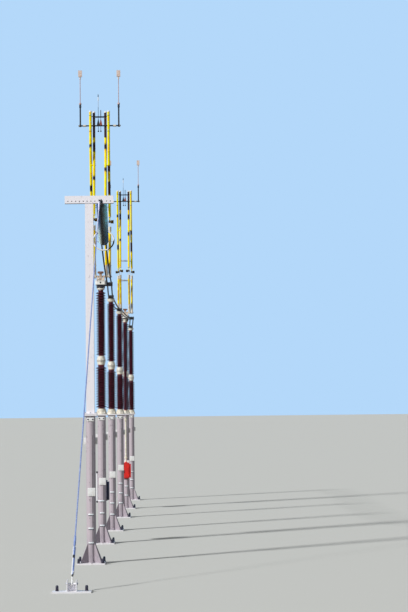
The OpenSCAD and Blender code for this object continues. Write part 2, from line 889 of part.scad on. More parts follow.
// Contact strips on the side of the rails that meets the bar
module strips(w) {
    strip_w = 64;
    grip = 20;
    color(contact_dark)
        above_crank()
            for (s = [-1, 1])
                translate([s * w / 2, 0, rail_l - strip_l])
                    difference() {
                        translate([-strip_w / 2, -arm_tube_d / 2 - strip_t, 0])
                            cube([strip_w, arm_tube_d / 2 + strip_t - grip, strip_l]);
                        translate([0, 0, -1]) cylinder(d = arm_tube_d, h = strip_l + 2);
                    }
}

// The front knee belongs to the narrow frame, and the back knee to the wide one
module lower_front() {
    translate([0, 0, pivot_z]) rotate([closed_angle, 0, 0]) lower_arm(narrow_w, -1);
}

module lower_back() {
    translate([0, 0, pivot_z]) rotate([-closed_angle, 0, 0]) lower_arm(wide_w, 1);
}

module at_front_knee() {
    translate([0, -lower_arm_l * sin(closed_angle), knee_z]) rotate([-closed_angle, 0, 0]) children();
}

module at_back_knee() {
    mirror([0, 1, 0]) at_front_knee() children();
}

module upper_front() {
    at_front_knee() upper_arm(narrow_w, true);
}

module upper_back() {
    at_back_knee() upper_arm(wide_w, false);
}

// The bar that the arms grip, with a collar near each end and two arcing horns in its middle
module trapeze() {
    collar_x = 410;
    collar_l = 80;
    collar_d = bar_d + 16;
    horn_x = 34;
    low_rise = 430;
    high_rise = 860;
    color(contact_dark) {
        translate([0, 0, bar_z]) bar_x(bar_d, hanger_w + 2 * hanger_eye_l);
        for (s = [-1, 1]) {
            translate([s * collar_x, 0, bar_z]) bar_x(collar_d, collar_l);
            translate([s * horn_x, 0, bar_z]) horn(s < 0 ? high_rise : low_rise);
        }
    }
}

// An arcing horn: a rod through the bar, with a ball under it and a gusset above it
module horn(rise) {
    rod_d = 12;
    drop = 150;
    ball_d = 40;
    gusset_h = 205;
    gusset_w = 56;
    gusset_tip_w = 6;
    gusset_t = 8;
    translate([0, 0, -drop]) {
        cylinder(d = rod_d, h = drop + rise);
        sphere(d = ball_d);
    }
    translate([0, gusset_t / 2, 0])
        rotate([90, 0, 0])
            linear_extrude(gusset_t)
                polygon([[-gusset_w / 2, 0], [gusset_w / 2, 0],
                    [gusset_tip_w / 2, gusset_h], [-gusset_tip_w / 2, gusset_h]]);
}

hanger_eye_l = 50;

// The two hangers, each with an eye round the bar's end and a clamp on the rope overhead
module hangers() {
    hanger_d = 34;
    thin_d = 20;
    ferrule_d = 48;
    ferrule_h = 80;
    end_d = 36;
    end_h = 70;
    bar_eye_d = 64;
    rope_clamp = [100, 60, 170];
    clamp_top = rope_z + 50;
    color(contact_dark)
        for (s = [-1, 1])
            translate([s * hanger_w / 2, 0, 0])
                difference() {
                    union() {
                        translate([0, 0, bar_z]) {
                            bar_x(bar_eye_d, hanger_eye_l);
                            cylinder(d = hanger_d, h = hanger_joint_z - bar_z);
                        }
                        translate([0, 0, hanger_joint_z - ferrule_h / 2])
                            cylinder(d = ferrule_d, h = ferrule_h);
                        translate([0, 0, hanger_joint_z])
                            cylinder(d = thin_d, h = rope_z - hanger_joint_z);
                        translate([0, 0, clamp_top - rope_clamp[2]]) {
                            stand(rope_clamp);
                            translate([0, 0, -end_h]) cylinder(d = end_d, h = end_h + bite);
                        }
                    }
                    translate([0, 0, bar_z]) bar_x(bar_d + 2 * pin_clear, 2 * hanger_eye_l);
                    translate([0, 0, rope_z]) bar_x(rope_d, rope_clamp[0] + 2 * bite);
                }
}

// The motor box, with a roof that stands out, a door on its free side and a gland plate below
module motor_box(side) {
    roof_t = 14;
    roof_over = 6;
    door_t = 10;
    door_edge = 16;
    gland_h = 22;
    collar_d = 110;
    collar_h = 30;
    shaft_in = 40;
    color(box_red)
        difference() {
            union() {
                translate([0, side * rotor_reach, box_z]) {
                    stand([box_w, box_d, box_h]);
                    translate([0, 0, box_h - roof_t])
                        stand([box_w + 2 * roof_over, box_d + 2 * roof_over, roof_t]);
                    translate([0, side * (box_d / 2 + door_t / 2 - bite), door_edge])
                        stand([box_w - 2 * door_edge, door_t + 2 * bite, box_h - roof_t - 2 * door_edge]);
                    translate([0, 0, bite - gland_h]) stand([box_w * 0.6, box_d * 0.5, gland_h]);
                    translate([0, 0, box_h - bite]) cylinder(d = collar_d, h = collar_h + bite);
                }
            }
            translate([0, side * rotor_reach, box_z + box_h - shaft_in])
                cylinder(d = drive_shaft_d + 2 * pin_clear, h = shaft_in + 2 * collar_h);
        }
}

// The upright shaft from the motor box to the foot of the rotating insulator
module drive_shaft(side) {
    shaft_in = 39;
    from = box_z + box_h - shaft_in;
    color(casting_cream)
        translate([0, side * rotor_reach, from])
            cylinder(d = drive_shaft_d, h = column_h + bite - from);
}

// The rotating insulator with its foot and its top, which enters the drive housing
module rotor(side) {
    foot_h = 120;
    foot_d = 150;
    foot_top_d = 120;
    cap_h = 100;
    cap_foot_d = 110;
    cap_top_d = 120;
    journal_l = 75;
    foot_z = column_h + side_clear;
    shed_z = foot_z + foot_h;
    cap_z = housing_z - boss_h - side_clear - cap_h;
    color(porcelain_brown)
        translate([0, side * rotor_reach, 0]) {
            translate([0, 0, column_h + bite]) cylinder(d = drive_shaft_d, h = side_clear + bite);
            translate([0, 0, foot_z]) cylinder(d1 = foot_d, d2 = foot_top_d, h = foot_h);
            translate([0, 0, shed_z - bite]) sheds(rotor_core_d, rotor_shed_d, cap_z - shed_z + 2 * bite);
            translate([0, 0, cap_z]) {
                cylinder(d1 = cap_foot_d, d2 = cap_top_d, h = cap_h);
                translate([0, 0, cap_h - bite]) cylinder(d = drive_shaft_d, h = journal_l + bite);
            }
        }
}

module at_y(y) {
    translate([0, y, 0]) children();
}

module at_2() {
    translate([pole_2_x, 0, 0]) at_y(pole_2_y) children();
}

guy_anchor();
guy_turnbuckle();
guy_rope();
column();  // mast_column
mast_post();
mast_crossarm();
string_fittings();
string_glass();
grading_ring();
conductor_span(1);  // conductor_span_1
conductor_span(2);  // conductor_span_2
conductor_span(3);  // conductor_span_3
conductor_span(4);  // conductor_span_4
conductor_span(5);  // conductor_span_5
conductor_clamps();
at_2() drive_column(drive_side_2);  // column_2
at_y(post_3_y) column();  // column_3
at_y(post_4_y) column();  // column_4
at_y(pole_5_y) drive_column(drive_side_5);  // column_5
at_y(post_6_y) column();  // column_6
at_2() post_porcelain();  // porcelain_2
at_y(post_3_y) post_porcelain();  // porcelain_3
at_y(post_4_y) post_porcelain();  // porcelain_4
at_y(pole_5_y) post_porcelain();  // porcelain_5
at_y(post_6_y) post_porcelain();  // porcelain_6
at_2() post_castings();  // castings_2
at_y(post_3_y) post_castings();  // castings_3
at_y(post_4_y) post_castings();  // castings_4
at_y(pole_5_y) post_castings();  // castings_5
at_y(post_6_y) post_castings();  // castings_6
at_2() drive_housing(drive_side_2);  // drive_housing_2
at_2() lower_front();  // lower_front_2
at_2() lower_back();  // lower_back_2
at_2() upper_front();  // upper_front_2
at_2() upper_back();  // upper_back_2
at_2() at_front_knee() strips(narrow_w);  // strips_front_2
at_2() at_back_knee() strips(wide_w);  // strips_back_2
at_2() trapeze();  // trapeze_2
at_2() hangers();  // hangers_2
at_2() motor_box(drive_side_2);  // motor_box_2
at_2() drive_shaft(drive_side_2);  // drive_shaft_2
at_2() rotor(drive_side_2);  // rotor_2
at_y(pole_5_y) drive_housing(drive_side_5);  // drive_housing_5
at_y(pole_5_y) lower_front();  // lower_front_5
at_y(pole_5_y) lower_back();  // lower_back_5
at_y(pole_5_y) upper_front();  // upper_front_5
at_y(pole_5_y) upper_back();  // upper_back_5
at_y(pole_5_y) at_front_knee() strips(narrow_w);  // strips_front_5
at_y(pole_5_y) at_back_knee() strips(wide_w);  // strips_back_5
at_y(pole_5_y) trapeze();  // trapeze_5
at_y(pole_5_y) hangers();  // hangers_5
at_y(pole_5_y) motor_box(drive_side_5);  // motor_box_5
at_y(pole_5_y) drive_shaft(drive_side_5);  // drive_shaft_5
at_y(pole_5_y) rotor(drive_side_5);  // rotor_5
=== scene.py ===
# %% [markdown]
# # A switchgear bay of a high-voltage yard
# One row of steel columns carries post insulators. A mast at its end holds a glass string and is
# stayed by a guy, and two pantograph disconnectors stand closed against their trapezes.
# The solids arrive as a fixed frame in metres. This script gives them finishes and adds what is too
# fine for them: sheds, strands, nuts, seals, plates and straps.

# %% The frame
import json
import math
from functools import partial

import bmesh
import bpy
import numpy as np
from mathutils import Matrix, Vector


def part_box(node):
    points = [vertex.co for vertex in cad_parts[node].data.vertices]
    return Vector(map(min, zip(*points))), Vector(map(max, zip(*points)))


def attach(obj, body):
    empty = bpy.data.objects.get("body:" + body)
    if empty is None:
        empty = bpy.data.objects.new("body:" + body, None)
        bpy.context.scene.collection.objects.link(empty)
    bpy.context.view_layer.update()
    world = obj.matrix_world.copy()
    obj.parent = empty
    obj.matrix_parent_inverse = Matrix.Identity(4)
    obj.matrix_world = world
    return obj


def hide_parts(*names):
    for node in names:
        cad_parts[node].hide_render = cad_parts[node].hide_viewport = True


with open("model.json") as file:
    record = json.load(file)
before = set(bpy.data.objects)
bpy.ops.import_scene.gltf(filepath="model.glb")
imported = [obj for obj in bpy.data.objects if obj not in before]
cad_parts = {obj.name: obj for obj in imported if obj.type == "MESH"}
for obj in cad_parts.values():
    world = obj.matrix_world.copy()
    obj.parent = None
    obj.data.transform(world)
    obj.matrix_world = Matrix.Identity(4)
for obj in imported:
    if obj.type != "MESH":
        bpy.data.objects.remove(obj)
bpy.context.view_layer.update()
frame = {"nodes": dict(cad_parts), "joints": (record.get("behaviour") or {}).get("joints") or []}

# %% [markdown]
# ## Where things are
# The places come from the frame: a node's box gives its lowest and highest corner, and the joints
# give the pivots. Only sizes inside a node are written out, as the real sizes of that piece. What
# stands on a post is shaped about the post's own foot and moved to its place at the end.

# %% Places and sizes
TAU = math.tau


def low(node):
    """The lowest corner of a node's box."""
    return np.array(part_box(node)[0])


def high(node):
    """The highest corner of a node's box."""
    return np.array(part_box(node)[1])


def foot(node):
    """The point on the ground under the middle of a node's box."""
    return (low(node) + high(node)) / 2 * (1, 1, 0)


posts = "23456"
drives = {"2": 1, "5": -1}
where = {"mast": np.zeros(3), **{n: foot("porcelain_" + n) for n in posts}}
column_of = {"mast": "mast_column", **{n: "column_" + n for n in posts}}
column_top, mast_top, porcelain_top, insulator_top = (
    float(high(node)[2]) for node in ("mast_column", "mast_post", "porcelain_3", "castings_3"))
porcelain_foot = float(low("porcelain_3")[2])
joint_at = {j["name"]: np.array(j["pos_m"]) for j in frame["joints"]}
pivot_z = float(joint_at["pantograph_2"][2])
housing_low, housing_top = insulator_top + 0.05, pivot_z - 0.11
# A column's tube and base plate, and half the distance between its anchor bolts
tube_r, plate_t, bolt_half = 0.1095, 0.03, 0.28
# The height of the crossarm's holes, and half the distance between the twin conductors
hole_z, half_gap = mast_top + 0.052, 0.055
# A lower arm's length, the offset of an upper arm's rail, and the angle of the closed arms
lower_l, rail_off, closed = 1.535, 0.0653, math.radians(10)
print("posts:", {n: tuple(round(float(v), 2) for v in p[:2]) for n, p in where.items()})

# %% [markdown]
# ## Camera
# The photograph was taken with a long lens from a little above head height, far in front of the row
# and to its right, with the camera tipped up and turned by less than a degree. The lens follows from
# the size of the picture: 1711 pixels of focal length in a picture 612 pixels high, on a 36 mm sensor.
# It could be placed by eye; a least-squares fit of the row's corners is surer, and gave these numbers.

# %% Camera


def linked(name, data):
    """An object of the data, added to the scene."""
    made = bpy.data.objects.new(name, data)
    bpy.context.scene.collection.objects.link(made)
    return made


picture_high = 612
focal_pixels = 1710.6
eye = Vector((2.261, -39.858, 3.465))
yaw, pitch, roll = math.radians(0.578), math.radians(3.555), math.radians(0.622)
forward = Vector((math.sin(yaw) * math.cos(pitch), math.cos(yaw) * math.cos(pitch), math.sin(pitch)))
level = Vector((math.cos(yaw), -math.sin(yaw), 0))
upright = level.cross(forward)
right = level * math.cos(roll) - upright * math.sin(roll)
up = upright * math.cos(roll) + level * math.sin(roll)
camera_data = bpy.data.cameras.new("camera")
camera_data.lens = focal_pixels / picture_high * camera_data.sensor_width
camera_data.clip_end = 3000
camera = linked("camera", camera_data)
camera.matrix_world = Matrix((right, up, -forward)).transposed().to_4x4()
camera.location = eye
bpy.context.scene.camera = camera
print("lens: %.1f mm" % camera_data.lens)

# %% [markdown]
# ## Colour and nodes
# Colours are picked as sRGB hex values, as on a screen, but shaders add light linearly. One function
# turns one into the other, and one small function adds a node, sets it and links what feeds it.

# %% Colour


def linear(code):
    """sRGB to linear: a channel c becomes ((c + 0.055) / 1.055) ** 2.4, or c / 12.92 near black."""
    c = [int(code[i : i + 2], 16) / 255 for i in (1, 3, 5)]
    return [v / 12.92 if v <= 0.04045 else ((v + 0.055) / 1.055) ** 2.4 for v in c] + [1.0]


print("half grey on a screen is", round(linear("#808080")[0], 3), "of the light")

# %% Nodes


def fill(node, name, value):
    """Sets an input, by name or number: a socket is linked, a text is a colour, a number is written."""
    socket = node.inputs[name.replace("_", " ") if isinstance(name, str) else name]
    if isinstance(value, bpy.types.NodeSocket):
        node.id_data.links.new(value, socket)
    else:
        socket.default_value = linear(value) if isinstance(value, str) else value


def add(tree, kind, *first, out=0, ramp=(), **given):
    """Adds a node, whose operation may follow its kind after a space, and gives back one output, or
    all of them where out is None. Unnamed values go to the first inputs, and ramp holds colour stops."""
    kind, _, operation = kind.partition(" ")
    node = tree.nodes.new("ShaderNode" + kind)
    if operation:
        node.operation = operation
    for i, (place, code) in enumerate(ramp):
        node.color_ramp.elements[i].position = place
        node.color_ramp.elements[i].color = linear(code)
    for name, value in (*enumerate(first), *given.items()):
        fill(node, name, value)
    return node.outputs if out is None else node.outputs[out]


def new_material(name):
    """A material, what adds a node to it, its shader, and a point's place in the object's own metres."""
    material = bpy.data.materials.new(name)
    material.use_nodes = True
    node = partial(add, material.node_tree)
    return material, node, material.node_tree.nodes["Principled BSDF"], node("TexCoord", out="Object")


def feed(shader, **given):
    """Feeds the shader: links what varies, and writes constants straight onto its own sockets."""
    for name, value in given.items():
        fill(shader, name, value)


def tones(dark, light):
    """Stops of a ramp that is dark where clouds of noise are under 0.32, and light over 0.62."""
    return (0.32, dark), (0.62, light)


def within(node, value, start, end):
    """1 where the value lies between start and end, and 0 elsewhere."""
    return node("Math MULTIPLY", node("Math GREATER_THAN", value, start),
                node("Math LESS_THAN", value, end))


def seen(node):
    """1 for rays from the camera, from mirrors and through glass, and 0 for light that has bounced."""
    ray = node("LightPath", out=None)
    direct = node("Math MAXIMUM", ray["Is Camera Ray"], ray["Is Transmission Ray"])
    return node("Math MAXIMUM", direct, ray["Is Glossy Ray"])


print("stops of a mottled ramp:", tones("#000000", "#ffffff"))

# %% [markdown]
# ## Light, sky and floor
# The sun stands behind the camera's left shoulder, 32 degrees up: across a round column the light falls
# off by the cosine of the angle from 50 degrees left of the view. Its soft edge and a low sky keep the
# shade dark but open. The camera, mirrors and glass see a pale blue, which gives no light of its own.
# The floor looks pale, but throws back less than half that light, or the shade would turn milky.

# %% Light
sky_light, sun_strength = 0.21, 3.25
sun_from = Vector((-0.77, -0.64, 0.62))
world = bpy.data.worlds.new("sky")
bpy.context.scene.world = world
world.use_nodes = True
node = partial(add, world.node_tree)
light = node("Background", Color="#ffffff", Strength=sky_light)
backdrop = node("Background", Color="#b4d8fa", Strength=1.0)
fill(world.node_tree.nodes["World Output"], "Surface", node("MixShader", seen(node), light, backdrop))
sun_data = bpy.data.lights.new("sun", "SUN")
sun_data.energy = sun_strength
sun_data.angle = math.radians(5)
sun = linked("sun", sun_data)
sun.rotation_euler = sun_from.to_track_quat("Z", "Y").to_euler()
bpy.context.scene.view_settings.view_transform = "Standard"
print("sun from", tuple(round(v, 2) for v in sun_from))

# %% Floor
far = 1500.0
floor_mesh = bpy.data.meshes.new("floor")
corners = [(-far, -far, 0), (far, -far, 0), (far, far, 0), (-far, far, 0)]
floor_mesh.from_pydata(corners, [], [(0, 1, 2, 3)])
floor = linked("floor", floor_mesh)
material, node, shader, place = new_material("pale ground sheet")
colour = node("MixRGB", seen(node), "#8f918b", "#dcddd8")
feed(shader, Base_Color=colour, Roughness=0.9, Specular_IOR_Level=0.1)
floor_mesh.materials.append(material)
print("floor half width:", far)

# %% [markdown]
# ## Shapes as arrays
# A shape is a pair of arrays: points and four-cornered faces. Rings of points stacked in rows make
# every round piece: turned about an axis, carried along a path, or lofted from an outline. A ring of
# zero size closes an end, and welding its points makes it a proper pole. Blender's own primitives could
# be edited into the same forms; a formula says the sizes outright, and gives clean, closed surfaces.

# %% Surfaces of rings


def ringed(rings):
    """Rows of rings as points and faces: ring j, point i joins i + 1 and ring j + 1."""
    rows, around = rings.shape[:2]
    j = np.arange(rows - 1)[:, None] * around
    i = np.arange(around)[None]
    k = (i + 1) % around
    faces = np.stack([j + i, j + k, j + around + k, j + around + i], -1)
    return rings.reshape(-1, 3), faces.reshape(-1, 4)


def capped(rings):
    """Adds a ring of zero size in the middle of each end ring."""
    first = np.broadcast_to(rings[:1].mean(1, keepdims=True), rings[:1].shape)
    last = np.broadcast_to(rings[-1:].mean(1, keepdims=True), rings[-1:].shape)
    return np.concatenate([first, rings, last])


def mm(text):
    """Points written as pairs of millimetres, such as "12,0 12,5", in metres."""
    return np.array([pair.split(",") for pair in text.split()], float) / 1000


def turned(profile, segments=24):
    """A profile of radius r and height z, turned about Z: (r cos a, r sin a, z). Its two ends close.
    A profile may be a text of millimetres."""
    r, z = (mm(profile) if isinstance(profile, str) else np.asarray(profile, float)).T
    a = np.linspace(0, TAU, segments, endpoint=False)
    heights = np.repeat(z[:, None], segments, 1)
    return ringed(capped(np.stack([np.outer(r, np.cos(a)), np.outer(r, np.sin(a)), heights], -1)))


def carried(path, section, upward):
    """A section (u, v) carried along a path: the point is path + u side + v top, where side is upward
    crossed with the path's direction and top is that direction crossed with side. A section may
    change from row to row."""
    path = np.asarray(path, float)
    section = np.broadcast_to(section, (len(path),) + np.asarray(section).shape[-2:])
    ahead = np.gradient(path, axis=0)
    ahead /= np.linalg.norm(ahead, axis=1, keepdims=True)
    side = np.cross(np.broadcast_to(upward, ahead.shape), ahead)
    side /= np.linalg.norm(side, axis=1, keepdims=True)
    top = np.cross(ahead, side)
    rings = path[:, None] + section[..., :1] * side[:, None] + section[..., 1:] * top[:, None]
    return ringed(capped(rings))


print("faces of a plain turned rod:", len(turned("10,0 10,50")[1]))

# %% Outlines and blocks


def circle(r, points=16):
    """Points at (r cos a, r sin a)."""
    a = np.linspace(0, TAU, points, endpoint=False)
    return r * np.stack([np.cos(a), np.sin(a)], -1)


def rounded(w, l, r, steps=4):
    """A rectangle with rounded corners: four quarter circles of radius r about the corners' middles."""
    a = np.linspace(0, TAU / 4, steps)[None] + TAU / 4 * np.arange(4)[:, None]
    x = (w / 2 - r) * np.array([1, -1, -1, 1])[:, None] + r * np.cos(a)
    y = (l / 2 - r) * np.array([1, 1, -1, -1])[:, None] + r * np.sin(a)
    return np.stack([x, y], -1).reshape(-1, 2)


def block(w, l, h, r, bevel):
    """A block on z = 0 with rounded corners, whose outline shrinks by a quarter circle of size bevel
    towards both ends."""
    turn = np.linspace(0, TAU / 4, 4)
    inset = bevel * (1 - np.sin(turn))
    rise = bevel * (1 - np.cos(turn))
    levels = zip(np.r_[inset, inset[::-1]], np.r_[rise, h - rise[::-1]])
    rings = [np.c_[rounded(w - 2 * i, l - 2 * i, max(r - i, 0.0002)), np.full(16, z)] for i, z in levels]
    return ringed(capped(np.stack(rings)))


def joined(*shapes):
    """Several shapes as one, with each one's faces moved past the points before it."""
    starts = np.cumsum([0] + [len(points) for points, faces in shapes[:-1]])
    faces = [faces + start for (points, faces), start in zip(shapes, starts)]
    return np.concatenate([points for points, faces in shapes]), np.concatenate(faces)


print("faces of a block:", len(block(0.1, 0.1, 0.02, 0.01, 0.002)[1]))

# %% Places of a shape


def at(x, y, z, ahead=(0, 0, 1), side=(1, 0, 0)):
    """The place that turns Z to the direction ahead, and X as near as it can be to side: Y is ahead
    crossed with side. The two must not be parallel, or that product has no direction."""
    w = np.array(ahead, float) / np.linalg.norm(ahead)
    v = np.cross(w, side)
    v /= np.linalg.norm(v)
    m = np.eye(4)
    m[:3, :3] = np.stack([np.cross(v, w), v, w], -1)
    m[:3, 3] = (x, y, z)
    return m


def placed(shape, *places):
    """The shape once at each place: every point is turned and moved by that place's matrix."""
    points, faces = shape
    m = np.stack(places)
    moved = np.einsum("kij,nj->kni", m[:, :3, :3], points) + m[:, None, :3, 3]
    offset = np.arange(len(places))[:, None, None] * len(points)
    return moved.reshape(-1, 3), (faces[None] + offset).reshape(-1, 4)


def down(x, y, z):
    """A place with Z downwards."""
    return at(x, y, z, ahead=(0, 0, -1))


def front(x, y, z):
    """A place on a face that looks to the front of the row, with Z out of the face."""
    return at(x, y, z, ahead=(0, -1, 0))


def across(x, y, z, way=1):
    """A place with Z across the row."""
    return at(x, y, z, ahead=(way, 0, 0), side=(0, 1, 0))


def mirrored(x, y, z):
    """Two upright places, left and right of the middle."""
    return [at(s * x, y, z) for s in (-1, 1)]


def outward(x, y, z):
    """Two places left and right of the middle, with Z away from it."""
    return [across(s * x, y, z, s) for s in (-1, 1)]


def ring_of(count, r, z, start=0.5, way=at):
    """Places on a circle of radius r, upright or turned the way given."""
    return [way(r * math.cos(t), r * math.sin(t), z) for t in TAU * (np.arange(count) + start) / count]


def plate_of(outline, half, upward=(1, 0, 0)):
    """An outline as a plate that reaches half its thickness to the front and to the back."""
    return carried([(0, -half, 0), (0, half, 0)], outline, upward)


print("the first of six places on a circle:", ring_of(6, 0.1, 0)[0][:3, 3].round(3))

# %% [markdown]
# ## Pieces
# Each piece becomes one mesh whose object sits at the origin, with its place in its points, as a node of
# the frame does. Faces that meet at less than a crease angle are smoothed, so that a turned shape looks
# round with few faces. Every piece rides on a body of the frame.

# %% Piece helpers
triangles = {}


def piece(name, shape, material, body="root", hides=(), crease=38, move=(0, 0, 0)):
    """Makes the mesh, moved to its place, welds its closed ends, smooths it up to the crease angle,
    and hangs it on its body. It hides the frame nodes that it stands for."""
    points, faces = shape
    mesh = bpy.data.meshes.new(name)
    mesh.from_pydata((points + move).tolist(), [], faces.tolist())
    bm = bmesh.new()
    bm.from_mesh(mesh)
    bmesh.ops.remove_doubles(bm, verts=bm.verts, dist=2e-5)
    bm.to_mesh(mesh)
    bm.free()
    mesh.polygons.foreach_set("use_smooth", np.ones(len(mesh.polygons), bool))
    mesh.set_sharp_from_angle(angle=math.radians(crease))
    mesh.materials.append(material)
    made = linked(name, mesh)
    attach(made, body)
    if hides:
        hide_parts(*hides)
    triangles[name] = sum(len(p.vertices) - 2 for p in mesh.polygons)


def dress(tail, move, slot, body="root", **made):
    """Pieces of one place: the beginning of each one's name, with its shape and material. The slot is not
    used.
    """
    for kind, (shape, material) in made.items():
        piece(kind + "_" + tail, shape, material, body, move=move)


def finish(material, *nodes):
    """Gives frame nodes a material."""
    for node in nodes:
        slots = frame["nodes"][node].data.materials
        slots.clear()
        slots.append(material)


print("pieces so far:", len(triangles))

# %% Bolts


def hex_bolt(r, head, shank=0.0):
    """A washer and a hexagon head on it, with an optional thread end above."""
    washer = turned([(1.25 * r, 0), (1.25 * r, 0.15 * head), (1.1 * r, 0.18 * head)], 14)
    hexagon = turned([(r, 0.15 * head), (r, 0.9 * head), (0.85 * r, head)], 6)
    if not shank:
        return joined(washer, hexagon)
    thread = turned([(0.5 * r, head), (0.5 * r, head + shank), (0.4 * r, head + shank + 0.1 * r)], 8)
    return joined(washer, hexagon, thread)


print("faces of a bolt:", len(hex_bolt(0.01, 0.01, 0.005)[1]))

# %% [markdown]
# ## Hot-dip galvanised steel
# The columns were dipped in molten zinc and have weathered dull. The eye sees a grey with a breath of
# violet, crystals a few centimetres wide that differ in tone, pale runs down the tube, a darker,
# dirtier foot and plates that have stayed bright. The crystals are Voronoi cells, and the runs are
# noise stretched along Z. A picture of zinc could be laid on instead, but would repeat or blur.

# %% Galvanised steel


def galvanised(name, light, dark, crystal, metal, rough, dirt_to=0.0, under=None):
    """Zinc of two tones in crystals of a size in metres, with runs, dirt up to a height, and painted
    shade on a face that looks down at the height under."""
    material, node, shader, place = new_material(name)
    cells = node("TexVoronoi", place, out=None, Scale=1 / crystal)
    grain = node("TexNoise", place, Scale=0.4 / crystal, Detail=5.0)
    long = node("Mapping", place, Scale=(9.0, 9.0, 0.7))
    runs = node("TexNoise", long, Scale=2.2, Detail=4.0)
    tone = node("Math ADD", grain, node("Math MULTIPLY", cells["Color"], 0.45))
    tone = node("Math ADD", tone, node("Math MULTIPLY", runs, 0.9))
    colour = node("ValToRGB", tone, ramp=[(0.55, dark), (1.0, light)])
    height = node("SeparateXYZ", place, out="Z")
    if under:
        # A dark band on the face that looks down at that height is painted shade
        off = node("Math ABSOLUTE", node("Math SUBTRACT", height, under), 0.0)
        colour = node("MixRGB", node("Math LESS_THAN", off, 0.0015), colour, "#3c343c")
    if dirt_to:
        low_down = node("MapRange", height, From_Max=dirt_to, To_Min=0.75, To_Max=0.0)
        mask = node("Math MULTIPLY", low_down, grain)
        colour = node("MixRGB", mask, colour, "#5c5a66")
        plate = node("Math LESS_THAN", height, plate_t + 0.001)
        plate = node("Math MAXIMUM", plate, node("Math GREATER_THAN", height, column_top - 0.031))
        colour = node("MixRGB", plate, colour, "#f3eef0")
    gloss = node("MapRange", cells["Distance"], To_Min=rough - 0.08, To_Max=rough + 0.12)
    bump = node("Bump", Strength=0.25, Distance=0.0006, Height=grain)
    feed(shader, Base_Color=colour, Roughness=gloss, Normal=bump, Metallic=metal)
    return material


# %% Zinc of each piece
column_zinc = galvanised("weathered galvanised tube", "#c0b3b9", "#6b6066", 0.035, 0.12, 0.6, dirt_to=0.7)
# The crossarm's underside gets a band of painted shade
mast_zinc = galvanised("new galvanised hollow section", "#fbf5f8", "#bfb6bf", 0.026, 0.15, 0.55,
                       under=float(low("mast_crossarm")[2]))
bright_zinc = galvanised("zinc plated clip", "#fbfbfb", "#e2e2e6", 0.008, 0.3, 0.4)
bolt_zinc = galvanised("galvanised bolts", "#c1bfc5", "#7f7d86", 0.006, 0.6, 0.45)
anchor_zinc = galvanised("galvanised anchor", "#f4f1f4", "#c6c2ca", 0.02, 0.15, 0.5)
print("zinc finishes:", sum("galvanised" in m.name for m in bpy.data.materials))

# %% [markdown]
# ## Mottled coats
# Many of the other finishes are one colour with a second one clouded through it: paint that has
# chalked, iron that was cast in sand, aluminium that has gone dull. They share one recipe, and each
# call says the real material's colours, the size of its clouds in metres, its gloss and its relief.

# %% Mottled coats


def coated(name, light, dark, cloud, rough, metal=0.0, relief=0.0003, coat=0.0, specks=None, zones=()):
    """Two tones clouded by noise. Each zone (from, to, light, dark) brings tones of its own between two
    heights. Specks, a colour, are small and far apart."""
    material, node, shader, place = new_material(name)
    clouds = node("TexNoise", place, Scale=1 / cloud, Detail=6.0, Roughness=0.6)
    height = node("SeparateXYZ", place, out="Z")
    colour = node("ValToRGB", clouds, ramp=tones(dark, light))
    for start, end, zone_light, zone_dark in zones:
        zone = node("ValToRGB", clouds, ramp=tones(zone_dark, zone_light))
        colour = node("MixRGB", within(node, height, start, end), colour, zone)
    if specks:
        dots = node("TexNoise", place, Scale=6 / cloud, Detail=2.0)
        few = node("MapRange", dots, From_Min=0.66, From_Max=0.72)
        colour = node("MixRGB", few, colour, specks)
    fine = node("TexNoise", place, Scale=7 / cloud, Detail=3.0)
    gloss = node("MapRange", clouds, To_Min=rough + 0.12, To_Max=max(rough - 0.12, 0.05))
    bump = node("Bump", Strength=0.3, Distance=relief, Height=fine)
    feed(shader, Base_Color=colour, Roughness=gloss, Normal=bump, Metallic=metal, Coat_Weight=coat)
    return material


# %% Coats of the fittings
# The cast fittings have a dark cement seam round their middle, and a grainy skin from the sand mould
seam_z = porcelain_foot + 1.285
seam_zone = (seam_z - 0.006, seam_z + 0.004, "#6a5d50", "#2f2822")
casting_skin = coated("cast fitting, pale", "#faf3e4", "#d6cbb6", 0.05, 0.55, 0.1, 0.0012,
                      specks="#93836f", zones=[seam_zone])
cap_iron = coated("malleable iron cap", "#33353a", "#1b1c20", 0.03, 0.45, 0.3, 0.0008)
root_paint = coated("cream enamel on castings", "#efe6d2", "#c9bba2", 0.06, 0.45, coat=0.2,
                    specks="#8a7760")
shaft_paint = coated("cream enamel shaft", "#fffaea", "#e3dbc4", 0.09, 0.4, coat=0.2)
seal_red = coated("red sealing compound", "#a8301f", "#7a1d14", 0.02, 0.5)
cap_plastic = coated("dark violet grease cap", "#2c2136", "#17111f", 0.02, 0.35)
strip_copper = coated("oxidised copper strip", "#4a2118", "#1c100d", 0.03, 0.5, 0.3, specks="#a5603a")
dark_rod = coated("weathered steel rod", "#151116", "#08060a", 0.04, 0.6, specks="#3a2a26")
white_enamel = coated("white enamel plate", "#fbfbfa", "#eceae6", 0.05, 0.3, coat=0.5)
black_strand = coated("weathered black strand", "#0d0d11", "#040406", 0.02, 0.65, relief=0.0008)
guy_strand = coated("galvanised guy strand", "#a3b2e0", "#6b7cb4", 0.03, 0.4, 0.3, 0.0006,
                    zones=[(mast_top - 0.75, mast_top + 1, "#f3eff8", "#b5b0d6")])
rubber = coated("black rubber", "#232325", "#141416", 0.02, 0.7)
clamp_grey = coated("dull aluminium clamp", "#3a3237", "#141115", 0.04, 0.5, 0.3, 0.0008, specks="#b9a9a6")
rust = coated("rusty gusset", "#b95a42", "#6a2a1c", 0.02, 0.6, relief=0.0006, specks="#3a1a12")
# The box behind the second column is coloured a dark navy, and the box in front a bright red
box_paint = {"2": coated("dark blue enamel sheet", "#2a2b48", "#1b1b30", 0.16, 0.38, coat=0.4),
             "5": coated("red enamel sheet", "#f3200f", "#cc150a", 0.16, 0.38, coat=0.4, specks="#8f120d")}
print("finishes so far:", len(bpy.data.materials))

